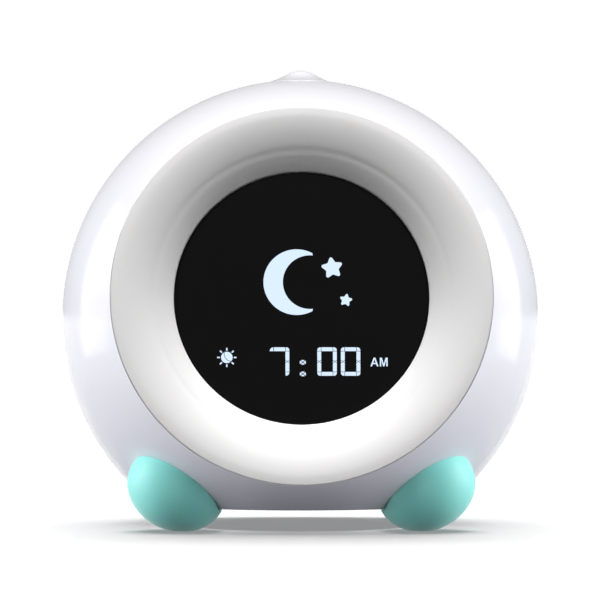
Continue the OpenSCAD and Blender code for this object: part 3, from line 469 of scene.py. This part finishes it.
def lit(name, outlines):
    """A thin lit piece on the lens, from outlines in millimetres on the display."""
    bm = bmesh.new()
    faces = [flat_face(bm, outline) for outline in outlines]
    bmesh.ops.recalc_face_normals(bm, faces=bm.faces)
    for face in bm.faces:
        if face.normal.z < 0:
            face.normal_flip()
    lift(bm, faces, LIT_THICK)
    obj = make_object(bm, name, on_face @ Matrix.Translation((0, 0, LENS_FRONT + LIT_RISE)))
    glow.on(obj)
    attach(obj, "clock")


def round_corners(corners, radii, steps=6):
    """An outline with each corner rounded to its own radius."""
    points = []
    for i, (corner, radius) in enumerate(zip(corners, radii)):
        here = Vector(corner)
        before = (Vector(corners[i - 1]) - here).normalized()
        after = (Vector(corners[(i + 1) % len(corners)]) - here).normalized()
        if radius == 0:
            points.append(tuple(here))
            continue
        half = before.angle(after) / 2
        reach = radius / math.tan(half)
        middle = here + (before + after).normalized() * radius / math.sin(half)
        first, last = here + before * reach - middle, here + after * reach - middle
        for step in range(steps + 1):
            way = first.lerp(last, step / steps)
            points.append(tuple(middle + way.normalized() * radius))
    return points


def digit(x, lit_parts):
    """One seven-segment digit: flat bars and rounded corners with thin lines between them."""
    middle_y = -19.62
    w, h, bar, flat, gap, tip = 2.98, 4.39, 1.18, 1.18, 0.08, 0.42
    inner_w, inner_h = w - bar, h - flat
    shapes = {
        "bar": [(-inner_w + gap, inner_h), (inner_w - gap, inner_h), (inner_w - gap, h), (-inner_w + gap, h)],
        "corner": round_corners([(inner_w + gap, inner_h + gap), (w, inner_h + gap), (w, h),
                                 (inner_w + gap, h)], (0, 0, 0.88, 0)),
        "side": [(inner_w, inner_h - gap), (inner_w, tip + gap), (w - bar / 2, gap * 1.4),
                 (w, tip + gap), (w, inner_h - gap)],
        "joint": [(inner_w, tip - gap), (inner_w, gap - tip), (w - bar / 2 - gap, 0)],
        "joint_out": [(w, gap - tip), (w, tip - gap), (w - bar / 2 + gap, 0)],
        "end": [(inner_w + gap, inner_h)] + arc((inner_w + 0.05, inner_h), 1.18, 0, 86, 8),
        "tail": [(inner_w, inner_h + gap), (w, inner_h + gap)]
                + arc((inner_w + 0.08, inner_h + gap), 1.1, 8, 90, 8),
    }
    return [[(px * sx + x, py * sy + middle_y) for px, py in shapes[part]] for part, sx, sy in lit_parts]


right_side = [(part, 1, 1) for part in ("side", "joint", "joint_out")] + [("side", 1, -1)]
seven = [("bar", 1, 1), ("corner", 1, 1), ("end", -1, 1), ("tail", 1, -1)] + right_side
around = [("bar", 1, 1), ("bar", 1, -1)] + [("corner", sx, sy) for sx in (-1, 1) for sy in (-1, 1)]
around += right_side + [(part, -sx, sy) for part, sx, sy in right_side]
lit("digit_seven", digit(-6.77, seven))
lit("digit_zero_ten", digit(7.77, around))
lit("digit_zero_one", digit(14.98, around))
colon = []
for middle in (-19.87, -23.45):
    for turn in range(4):
        wide, tall = ((0.9, 0.7), (0.7, 0.9))[turn % 2]
        wedge = round_corners([(0.14, 0), (wide, 0.86 * tall), (wide, -0.86 * tall)], (0, 0.12, 0.12), 3)
        cos, sin = ((1, 0), (0, 1), (-1, 0), (0, -1))[turn]
        colon.append([(x * cos - y * sin + 0.35, x * sin + y * cos + middle) for x, y in wedge])
lit("colon", colon)


def stroke(path, width):
    """An outline round a bent line of (x, y) points, square at its ends."""
    points = [Vector(p) for p in path]
    left, right = [], []
    for i, point in enumerate(points):
        before = (point - points[i - 1]).normalized() if i else (points[1] - point).normalized()
        after = (points[i + 1] - point).normalized() if i < len(points) - 1 else before
        side = (before + after).normalized()
        reach = width / 2 / max(side.dot(after), 0.3)
        side = Vector((-side.y, side.x)) * reach
        left.append(tuple(point + side))
        right.append(tuple(point - side))
    return left + right[::-1]


# A and M as plain strokes, between a top and a foot line
TOP, FOOT = -18.43, -21.11
letter_a = [[(21.04, FOOT), (21.54, FOOT), (22.285, -19.0), (23.03, FOOT), (23.53, FOOT), (22.55, TOP),
             (22.02, TOP)],
            [(21.78, -20.42), (21.93, -20.02), (22.64, -20.02), (22.79, -20.42)]]
letter_m = [[(23.93, FOOT), (23.93, TOP), (24.56, TOP), (25.13, -20.35), (25.7, TOP), (26.33, TOP),
             (26.33, FOOT), (25.9, FOOT), (25.9, -19.1), (25.33, FOOT), (24.93, FOOT), (24.36, -19.1),
             (24.36, FOOT)]]
lit("letter_a", letter_a)
lit("letter_m", letter_m)

# the sun: a disc parted by a thin curved line, and eight short rays
SUN_RADIUS, SUN_LEAN = 1.765, 36.5
sun = Vector((-22.92, -18.36))
line_middle = sun + Vector((math.cos(math.radians(SUN_LEAN)), math.sin(math.radians(SUN_LEAN)))) * 1.91
sun_disc = arc(sun, SUN_RADIUS, SUN_LEAN - 76.2, SUN_LEAN + 76.2, 24)
sun_disc += arc(line_middle, 2.27, SUN_LEAN + 131, SUN_LEAN + 229, 30)
sun_side = arc(sun, SUN_RADIUS, SUN_LEAN + 82.7, SUN_LEAN + 277.3, 30)
sun_side += arc(line_middle, 2.43, SUN_LEAN + 226.1, SUN_LEAN + 133.9, 30)
rays = []
for i in range(8):
    out = Vector((math.cos(math.pi / 4 * i), math.sin(math.pi / 4 * i)))
    rays.append(stroke([tuple(sun + out * 2.12), tuple(sun + out * 2.96)], 0.42))
lit("sun_disc", [sun_disc])
lit("sun_side", [sun_side])
lit("sun_rays", rays)

# the moon and its stars
moon = arc((-1.5, 5.0), 10.2, 62, 298, 60) + arc((2.6, 5.0), 8.35, 276, 84, 50)
lit("moon", [moon])


def star(x, y, size, turn):
    """A star with five blunt points."""
    outline = []
    for i in range(10):
        angle = math.radians(90 + turn + 36 * i)
        radius = size if i % 2 == 0 else size * 0.52
        outline.append((x + radius * math.cos(angle), y + radius * math.sin(angle)))
    return round_corners(outline, (size * 0.13, size * 0.05) * 5, 4)


lit("star_large", [star(9.4, 9.4, 3.9, 8)])
lit("star_small", [star(13.6, -0.6, 2.3, -10)])

# ---- Top button ----
# The light switch on top: a glossy moulded cap with a domed middle and a flared skirt, held by a
# flange under the shell. It slides in a cup on a coil spring.
BUTTON_TOP = RADIUS + BUTTON_RISE
BUTTON_DOME = 0.0086
BUTTON_WHITE = (0.88, 0.875, 0.91)
DOME_END, FLANK_END = 30, 18
STEM_RADIUS = 0.002
dome_turn, flank_turn = math.radians(DOME_END), math.radians(FLANK_END)
dome_x = BUTTON_DOME * math.sin(dome_turn)
dome_z = BUTTON_TOP - BUTTON_DOME * (1 - math.cos(dome_turn))
flank_r = (BUTTON_RADIUS - dome_x) / (math.sin(dome_turn) - math.sin(flank_turn))
flank = (dome_x + flank_r * math.sin(dome_turn), dome_z + flank_r * math.cos(dome_turn))
flange_r = BUTTON_RADIUS + 0.0014
flange_z = math.sqrt((RADIUS - WALL) ** 2 - flange_r ** 2) - 0.0003
flange_low, rim_low = flange_z - 0.002, flange_z - 0.0035
hollow_r, hollow_top = BUTTON_RADIUS - 0.0018, BUTTON_TOP - 0.0045
stem_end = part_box("top_button")[0][2] - BODY.z
button_outline = [(0, BUTTON_TOP)] + arc((0, BUTTON_TOP - BUTTON_DOME), BUTTON_DOME, 86, 90 - DOME_END, 14)
button_outline += arc(flank, flank_r, 270 - DOME_END, 251.6, 14)[1:]
skirt_z = button_outline[-1][1]
button_outline += [(BUTTON_RADIUS - 0.00004, skirt_z - 0.00004), (BUTTON_RADIUS, skirt_z - 0.0001),
                   (BUTTON_RADIUS, flange_z), (flange_r, flange_z), (flange_r, flange_low),
                   (BUTTON_RADIUS, flange_low), (BUTTON_RADIUS, rim_low), (hollow_r, rim_low),
                   (hollow_r, hollow_top), (STEM_RADIUS, hollow_top), (STEM_RADIUS, stem_end), (0, stem_end)]
button_cap = smooth(make_object(spun(button_outline, 128), "button_cap", at_body), 40)
button_gloss = grained("glossy white button", BUTTON_WHITE, (0.86, 0.855, 0.89), 0.26,
                       grain=420, depth=0.01, spread=0.03)
across = button_gloss.node("ShaderNodeSeparateXYZ", output="X", Vector=button_gloss.object_place)
along = button_gloss.node("ShaderNodeSeparateXYZ", output="Y", Vector=button_gloss.object_place) - BODY.y
# painted shade: the base colour darkens down the skirt towards where it meets the shell
skirt_shade = across.join("SQRT", across * across + along * along) * 140 - 0.35
skirt_shade = skirt_shade.join("MINIMUM", skirt_shade.join("MAXIMUM", skirt_shade, 0.0), 1.0)
button_gloss.feed("Base Color", button_gloss.blend(skirt_shade, BUTTON_WHITE, (0.60, 0.595, 0.63)))
button_gloss.on(button_cap)
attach(button_cap, "button")
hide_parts("top_button")

# ---- Feet ----
# Four soft egg-shaped feet of moulded silicone. Each is cut to sit flush on the body and is
# flattened where it stands, with a screw through the shell into it.
FOOT_A, FOOT_B = 0.0156, 0.0133
FOOT_SLOPE, FOOT_TURN = math.radians(22.8), math.radians(42.1)
FOOT_SINK, FOOT_FLAT = 0.0016, 0.00037
FOOT_CLEAR = 0.00008
REAR_SHARE = 0.88
foot_half = math.hypot(FOOT_A * math.sin(FOOT_SLOPE), FOOT_B * math.cos(FOOT_SLOPE))
silicone = grained("teal silicone", (0.23, 0.68, 0.64), (0.21, 0.65, 0.61), 0.46,
                   grain=520, depth=0.05, spread=0.08, Sheen_Weight=0.25, Sheen_Roughness=0.5,
                   Specular_IOR_Level=0.4, Subsurface_Weight=0.12, Subsurface_Scale=0.003)
feet = []
for side, away, share, node in ((-1, -1, 1, "front_foot_left"), (1, -1, 1, "front_foot_right"),
                                (-1, 1, REAR_SHARE, "rear_foot_left"),
                                (1, 1, REAR_SHARE, "rear_foot_right")):
    z = -BODY.z + share * (foot_half - FOOT_FLAT)
    reach = math.sqrt((RADIUS - FOOT_SINK * share) ** 2 - z ** 2)
    place = Matrix.Translation((side * reach * math.cos(FOOT_TURN), away * reach * math.sin(FOOT_TURN), z))
    place = place @ Matrix.Rotation(-side * FOOT_SLOPE, 4, "Y")
    place = place @ Matrix.Diagonal((FOOT_A * share, FOOT_B * share, FOOT_B * share, 1))
    bm = bmesh.new()
    bmesh.ops.create_uvsphere(bm, u_segments=96, v_segments=64, radius=1)
    bmesh.ops.transform(bm, matrix=place, verts=bm.verts)
    cap_cut(bm, (0, 0, -BODY.z + 0.00002), (0, 0, -1))
    foot = make_object(bm, node + "_pad")
    body = spun(ball_outline(RADIUS + FOOT_CLEAR, BELLY + FOOT_CLEAR, BELLY_ROUND, 96), 192)
    carve(foot, make_object(body, "body_cut"))
    remesh = foot.modifiers.new("even", "REMESH")
    remesh.mode = "VOXEL"
    remesh.voxel_size = 0.00032
    soften = foot.modifiers.new("soften", "SMOOTH")
    soften.factor, soften.iterations = 0.5, 6
    settle(foot)
    foot.data.transform(at_body)
    smooth(foot, 180)
    silicone.on(foot)
    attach(foot, "clock")
    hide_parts(node)
    feet.append(foot)

# ---- Back panel ----
# A flat satin white panel with blunted edges. It carries the keys, the speaker's grille, the
# power socket and four countersunk screws.
PANEL_OUT, PANEL_THICK = BACK - 0.001, 0.0022
KEY_RING, KEY_RADIUS, KEY_STEP = 0.0355, 0.0045, 22
PANEL_SCREW_RING = 0.0472
PANEL_ROUND = 0.0003
GRILLE_HOLE, GRILLE_STEP = 0.001, 0.0039
PLUG_LOW = -0.005
on_panel = on_back @ Matrix.Translation((0, 0, PANEL_OUT))
panel_outline = [(0, -PANEL_THICK), (PANEL_RADIUS, -PANEL_THICK), (PANEL_RADIUS, -PANEL_ROUND),
                 (PANEL_RADIUS - PANEL_ROUND, 0), (0, 0)]
panel = make_object(spun(panel_outline, 192), "panel_skin")
cutters = bmesh.new()


def add_cutter(shape, place):
    """Joins a cutter to the others, at its place on the panel."""
    bmesh.ops.transform(shape, matrix=place, verts=shape.verts)
    mesh = bpy.data.meshes.new("cutter")
    shape.to_mesh(mesh)
    shape.free()
    cutters.from_mesh(mesh)


def key_place(i):
    """Where a key sits: evenly along an arc over the grille."""
    return turned_about(90 + KEY_STEP * 3.5 - KEY_STEP * i, KEY_RING, 0, 0)


def grille_hole(place):
    """One small round hole of the speaker's grille."""
    hole = plug(GRILLE_HOLE, PLUG_LOW, 0, flare=0.00015, steps=24)
    add_cutter(hole, Matrix.Translation((0, -0.004, 0)) @ place)


for i in range(8):
    add_cutter(plug(KEY_RADIUS + 0.0002, PLUG_LOW, 0, flare=0.00025, steps=64), key_place(i))
grille_hole(Matrix())
for ring_number in range(1, 5):
    for i in range(6 * ring_number):
        grille_hole(turned_about(60 * i / ring_number, GRILLE_STEP * ring_number, 0, 0))
for turn in (45, 135, 225, 315):
    add_cutter(plug(0.0026, -0.001, 0, flare=0.0002, steps=48), turned_about(turn, PANEL_SCREW_RING, 0, 0))
slot_cut = bmesh.new()
slot_points = arc((2.8, 0), 2.1, -90, 90, 16) + arc((-2.8, 0), 2.1, 90, 270, 16)
lift(slot_cut, [flat_face(slot_cut, slot_points)], 0.01)
add_cutter(slot_cut, Matrix.Translation((0, -0.036, PLUG_LOW)))
carve(panel, make_object(cutters, "cutters"))
panel.data.transform(on_panel)
smooth(panel, 30)
panel_satin = grained("satin white panel", (0.78, 0.775, 0.79), (0.74, 0.735, 0.75), 0.45,
                      grain=1400, depth=0.06, spread=0.08)
panel_satin.on(panel)
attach(panel, "clock")
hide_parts("rear_panel")

# ---- Keys ----
# Eight round press keys of soft-touch plastic, two of them teal. Each has a shallow domed cap
# with a raised sign and a foot that stops behind the panel.
KEY_TOP = BACK - 0.0002 - PANEL_OUT
KEY_DOME = 0.016
KEY_FLANGE, FLANGE_TOP, FLANGE_LOW = 0.0053, -0.00225, -0.00345
KEY_FOOT, KEY_FOOT_LOW = 0.00175, -0.0056
key_outline = [(0, KEY_TOP)] + arc((0, KEY_TOP - KEY_DOME), KEY_DOME, 88, 75.2, 10)
edge_z = key_outline[-1][1]
key_outline += [(0.00425, edge_z - 0.00010), (0.00443, edge_z - 0.00026), (KEY_RADIUS, edge_z - 0.0005),
                (KEY_RADIUS, FLANGE_TOP), (KEY_FLANGE, FLANGE_TOP), (KEY_FLANGE, FLANGE_LOW),
                (KEY_FOOT, FLANGE_LOW), (KEY_FOOT, KEY_FOOT_LOW), (0, KEY_FOOT_LOW)]
key_grey = grained("grey key", (0.60, 0.60, 0.63), (0.56, 0.56, 0.59), 0.5, grain=1500, depth=0.05)
key_teal = grained("teal key", (0.20, 0.52, 0.50), (0.18, 0.49, 0.47), 0.5, grain=1500, depth=0.05)
sign_grey = grained("printed grey", (0.10, 0.11, 0.13), (0.12, 0.13, 0.15), 0.6, grain=1500, depth=0.03)
sign_white = grained("printed white", (0.80, 0.82, 0.82), (0.76, 0.78, 0.78), 0.6, grain=1500, depth=0.03)


def half_ring(radius, width, start):
    """A flat bar bent to half a ring."""
    outside = arc((0, 0), radius + width / 2, start, start + 180, 15)
    return outside + arc((0, 0), radius - width / 2, start + 180, start, 15)


speaker_sign = [[(-1.9, -0.55), (-1.2, -0.55), (-0.3, -1.4), (-0.3, 1.4), (-1.2, 0.55), (-1.9, 0.55)]]
signs = {
    "key_volume_down": speaker_sign + [stroke([(0.5, 0), (1.9, 0)], 0.4)],
    "key_volume_up": speaker_sign + [stroke([(0.5, 0), (1.9, 0)], 0.4),
                                     stroke([(1.2, 0.25), (1.2, 0.7)], 0.4),
                                     stroke([(1.2, -0.25), (1.2, -0.7)], 0.4)],
    "key_sound": [arc((-0.95, -1.15), 0.62, 0, 345, 20), arc((1.15, -0.85), 0.62, 0, 345, 20),
                  [(-0.5, -1.1), (-0.2, -1.1), (-0.2, 1.1), (1.45, 1.4), (1.45, -0.8), (1.75, -0.8),
                   (1.75, 1.85), (-0.5, 1.45)]],
    "key_light": [arc((0, 0.45), 1.15, -50, 230, 24) + [(-0.5, -0.85), (0.5, -0.85)],
                  stroke([(-0.55, -1.2), (0.55, -1.2)], 0.3), stroke([(-0.4, -1.65), (0.4, -1.65)], 0.3)],
    "key_nap": [[(-1.1, 1.5), (1.1, 1.5), (1.1, 1.15), (-0.45, -1.1), (1.1, -1.1), (1.1, -1.5),
                 (-1.1, -1.5), (-1.1, -1.15), (0.45, 1.1), (-1.1, 1.1)]],
    "key_sleep": [arc((-0.1, 0), 1.7, 60, 300, 30) + arc((0.85, 0), 1.45, 272, 88, 24)],
    "key_alarm": [half_ring(1.25, 0.36, 0), half_ring(1.25, 0.36, 180),
                  stroke([(0, 0.75), (0, -0.05), (0.55, -0.4)], 0.3),
                  stroke([(-1.85, 1.0), (-1.0, 1.85)], 0.4), stroke([(1.0, 1.85), (1.85, 1.0)], 0.4)],
    "key_clock": [half_ring(1.6, 0.36, 0), half_ring(1.6, 0.36, 180),
                  stroke([(0, 1.05), (0, 0), (0.8, 0)], 0.34)],
}
SIGN_RISE = 0.00004
for i, name in enumerate(signs):
    place = on_panel @ Matrix.Translation(key_place(i).to_translation())
    cap = smooth(make_object(spun(key_outline, 64), name + "_cap", place), 40)
    teal = name in ("key_nap", "key_sleep")
    (key_teal if teal else key_grey).on(cap)
    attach(cap, name)
    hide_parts(name)
    bm = bmesh.new()
    faces = [flat_face(bm, outline) for outline in signs[name]]
    bmesh.ops.triangulate(bm, faces=faces)
    bmesh.ops.subdivide_edges(bm, edges=bm.edges[:], cuts=2, use_grid_fill=True)
    for vert in bm.verts:
        dome_height = math.sqrt(KEY_DOME ** 2 - vert.co.x ** 2 - vert.co.y ** 2)
        vert.co.z = KEY_TOP - KEY_DOME + dome_height + SIGN_RISE
    for face in bm.faces:
        face.normal_update()
        if face.normal.z < 0:
            face.normal_flip()
    sign = make_object(bm, name + "_sign", place)
    (sign_white if teal else sign_grey).on(sign)
    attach(sign, name)

# ---- Base plate and battery door ----
# Satin moulded ABS. The plate carries the battery bay and is screwed into the shells' lugs; the
# door turns on two pins and is held by one screw.
base_satin = grained("satin white base", (0.77, 0.765, 0.78), (0.73, 0.725, 0.74), 0.48,
                     grain=1300, depth=0.07, spread=0.08)
for node in ("base_plate", "battery_door"):
    base_satin.on(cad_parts[node])

# ---- Screws ----
# Zinc-plated cross-head screws, with a faint brushed grain.
zinc = grained("zinc plate", (0.62, 0.63, 0.64), (0.52, 0.53, 0.55), 0.32, grain=2600, depth=0.08,
               spread=0.1, Metallic=1.0)
for node in ("display_screws", "bezel_screws", "panel_screws", "key_board_screws", "speaker_screws",
             "board_screws", "base_screws", "door_screw", "guide_screws", "button_board_screws",
             "foot_screws", "shell_screws"):
    zinc.on(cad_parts[node])

# ---- Boards and electronics ----
# Glass-fibre boards under a green or white mask, with black moulded switches and chips, and
# small resin-filled lamps.
for name, colour, shade, nodes in (
        ("green board", (0.012, 0.10, 0.045), (0.02, 0.15, 0.07),
         ("display_board", "key_board", "usb_board", "main_board", "button_board")),
        ("white board", (0.75, 0.75, 0.70), (0.70, 0.70, 0.66), ("glow_board",))):
    board = Finish(name, colour, 0.35)
    tracks = board.node("ShaderNodeTexBrick", {"offset": 0.3}, output="Fac",
                        Vector=board.object_place, Scale=260.0)
    board.feed("Base Color", board.blend(tracks, colour, shade))
    board.feed("Roughness", board.noise(900) * 0.1 + 0.3)
    board.bump(tracks, 0.2, 0.00008)
    board.on(*[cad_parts[node] for node in nodes])
part_black = grained("black moulding", (0.012, 0.012, 0.013), (0.02, 0.02, 0.022), 0.5, grain=2200, depth=0.1)
part_black.on(*[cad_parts[node] for node in ("key_switches", "button_switch", "board_chips")])
lamp = grained("lamp resin", (0.80, 0.78, 0.62), (0.72, 0.70, 0.52), 0.3, grain=1800, depth=0.05)
lamp.on(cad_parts["display_leds"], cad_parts["glow_leds"])
inner_white = grained("inner white moulding", (0.72, 0.72, 0.73), (0.68, 0.68, 0.69), 0.55,
                      grain=1100, depth=0.08)
inner_white.on(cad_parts["segment_housing"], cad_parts["button_guide"])
film = grained("dark film", (0.012, 0.014, 0.018), (0.018, 0.020, 0.025), 0.3, grain=1500, depth=0.03)
film.on(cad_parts["segment_film"])

# ---- Speaker, springs, cells and leads ----
# A pressed steel basket with a paper cone and a foam gasket, nickel-plated springs and contacts,
# wrapped cells, and thin leads.
steel = grained("pressed steel", (0.30, 0.31, 0.33), (0.24, 0.25, 0.27), 0.35,
                grain=1900, depth=0.1, Metallic=1.0)
steel.on(*[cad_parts[node] for node in ("speaker_frame", "speaker_magnet", "usb_socket")])
nickel = grained("nickel plate", (0.60, 0.57, 0.50), (0.52, 0.49, 0.43), 0.28,
                 grain=2400, depth=0.05, Metallic=1.0)
nickel.on(*[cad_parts[node] for node in ("contact_plates", "contact_springs", "button_spring")])
cone = grained("paper cone", (0.045, 0.045, 0.047), (0.065, 0.064, 0.066), 0.85, grain=1200, depth=0.3)
cone.on(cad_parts["speaker_cone"])
foam = grained("foam", (0.02, 0.02, 0.021), (0.03, 0.03, 0.031), 0.95, grain=2600, depth=0.5)
foam.on(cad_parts["speaker_gasket"])
cell = grained("cell wrap", (0.45, 0.22, 0.05), (0.38, 0.18, 0.04), 0.35,
               grain=1300, depth=0.04, Metallic=0.5)
cell.on(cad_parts["battery_cells"])
lead = grained("lead", (0.60, 0.60, 0.61), (0.52, 0.52, 0.53), 0.5, grain=1400, depth=0.05)
lead.on(*[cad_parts[node] for node in ("speaker_lead", "button_lead", "display_ribbon", "key_ribbon")])
red_lead = grained("red lead", (0.35, 0.02, 0.02), (0.28, 0.015, 0.015), 0.45, grain=1400, depth=0.05)
red_lead.on(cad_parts["battery_lead"])

# ---- Studio ----
# A white floor under a white dome that only the camera sees. Soft boxes light the clock from high
# in front, from both sides and from low down, and the floor, the ring, the feet and the pieces
# behind have lights of their own.
scene = bpy.context.scene
scene.view_settings.view_transform = "Standard"
scene.view_settings.look = "None"
world = bpy.data.worlds.new("studio")
scene.world = world
world.use_nodes = True
sky = world.node_tree
way = sky.nodes.new("ShaderNodeTexCoord")
parts = sky.nodes.new("ShaderNodeSeparateXYZ")
sky.links.new(way.outputs["Generated"], parts.inputs[0])
sky_y = Wire(sky, parts.outputs[1])
rear = sky_y.join("MAXIMUM", sky_y, 0.0)
strength = rear * rear * 0.62
background = sky.nodes["Background"]
background.inputs["Color"].default_value = (0.97, 0.975, 1.0, 1)
sky.links.new(strength.socket, background.inputs["Strength"])

floor_bm = bmesh.new()
bmesh.ops.create_grid(floor_bm, x_segments=2, y_segments=2, size=12)
floor = make_object(floor_bm, "floor")
floor_white = grained("white floor", (0.36, 0.36, 0.36), (0.35, 0.35, 0.35), 0.9, grain=40, depth=0.01,
                      Specular_IOR_Level=0.0, Emission_Color=(1, 1, 1, 1), Emission_Strength=0.24)
floor_white.on(floor)
floor.visible_diffuse = False
floor.visible_shadow = False
dome_bm = bmesh.new()
bmesh.ops.create_icosphere(dome_bm, subdivisions=4, radius=10)
dome = make_object(dome_bm, "dome")
dome_white = Finish("white dome", (1.0, 1.0, 1.0), 1.0, Emission_Strength=1.0)
dome_glow = dome_white.blend(dome_white.noise(0.5), (1.0, 1.0, 1.0), (1.02, 1.02, 1.02))
dome_white.feed("Emission Color", dome_glow)
dome_white.on(dome)
for ray in ("visible_diffuse", "visible_glossy", "visible_transmission", "visible_shadow"):
    setattr(dome, ray, False)


def receivers(name, objects, state):
    """A group that a light is kept to, or kept off."""
    group = bpy.data.collections.new(name)
    for obj in objects:
        group.objects.link(obj)
    for member in group.collection_objects:
        member.light_linking.link_state = state
    return group


floor_only = receivers("floor only", [floor], "INCLUDE")
ring_only = receivers("ring only", [ring], "INCLUDE")
feet_only = receivers("feet only", feet, "INCLUDE")
off_three = receivers("off floor, ring and feet", [floor, ring, *feet], "EXCLUDE")
off_shells = receivers("off shells", [front_shell, rear_shell], "EXCLUDE")
FRONTMOST_BEHIND = BODY.y + SEAM - 0.004
behind = [obj for obj in scene.objects if obj.type == "MESH" and obj not in (floor, dome, *feet)
          and min(corner[1] for corner in obj.bound_box) > FRONTMOST_BEHIND]
rear_only = receivers("rear only", behind, "INCLUDE")


FAR = 1.1
LOW_BLUE = (0.88, 0.9, 1.3)


def softbox(name, toward, away, width, height, level, group):
    """A rectangular light that faces the body and gives it a level of light at any distance."""
    light = bpy.data.lights.new(name, "AREA")
    light.shape = "RECTANGLE"
    light.size, light.size_y = width, height
    light.energy = math.pi ** 2 * away ** 2 * level
    obj = bpy.data.objects.new(name, light)
    scene.collection.objects.link(obj)
    obj.location = BODY + Vector(toward).normalized() * away
    obj.rotation_euler = (BODY - obj.location).to_track_quat("-Z", "Y").to_euler()
    obj.light_linking.receiver_collection = group
    return obj


for side, tag in ((-1, "left"), (1, "right")):
    softbox("light_front_" + tag, (side * 0.6, -0.6, 0.45), FAR, 0.5, 0.5, 0.96, off_three)
    softbox("light_side_" + tag, (side, -0.15, 0.25), FAR, 1.0, 0.8, 0.085, off_three)
    low = softbox("light_low_" + tag, (side * 0.95, -0.1, -0.32), FAR, 0.6, 0.5, 0.145, off_three)
    low.data.color = LOW_BLUE
    softbox("light_ring_side_" + tag, (side, -0.15, 0.25), FAR, 1.0, 0.8, 0.17, ring_only)
    softbox("light_ring_up_" + tag, (side * 0.8, -0.1, 0.65), FAR, 0.7, 0.7, 0.05, ring_only)
    softbox("light_feet_side_" + tag, (side, -0.15, 0.25), FAR, 1.0, 0.8, 1.24, feet_only)
    softbox("light_feet_up_" + tag, (side * 0.8, -0.1, 0.65), FAR, 0.7, 0.7, 0.36, feet_only)
    softbox("light_feet_back_" + tag, (side * 0.85, 0.5, 0.1), FAR, 0.6, 0.8, 0.08, feet_only)
    softbox("light_feet_low_" + tag, (side * 0.95, -0.1, -0.32), FAR, 0.6, 0.5, 0.14, feet_only)
softbox("light_left", (-0.93, 0.327, 0.169), 0.343, 0.15, 0.24, 0.12, off_three)
softbox("light_right", (0.92, 0.345, 0.139), 0.343, 0.13, 0.23, 0.11, off_three)
softbox("light_rear", (0, 0.8, 0.6), FAR, 0.9, 0.7, 0.42, rear_only)
softbox("light_feet_front", (0, -1, 0.1), FAR, 0.6, 0.6, 0.188, feet_only)
softbox("light_ring_over", (0, -0.12, 1), FAR, 0.7, 0.6, 1.30, ring_only)
softbox("light_ring_front", (0, -0.423, 0.906), FAR, 0.5, 0.4, 0.658, ring_only)
softbox("light_ring_middle", (0, -0.8, 0.6), FAR, 0.6, 0.6, 0.17, ring_only)


def floor_light(name, level, spread, slope):
    """A wide distant light that falls on the floor alone and draws the shadow there."""
    light = bpy.data.lights.new(name, "SUN")
    light.energy, light.angle = level * math.pi, math.radians(spread)
    obj = bpy.data.objects.new(name, light)
    scene.collection.objects.link(obj)
    obj.rotation_euler = (math.radians(slope), 0, 0)
    obj.light_linking.receiver_collection = floor_only
    return obj


floor_light("light_floor", 1.37, 60, -16)
feet_shadow = floor_light("light_feet_shadow", 1.17, 40, -22)
feet_shadow.light_linking.blocker_collection = off_shells
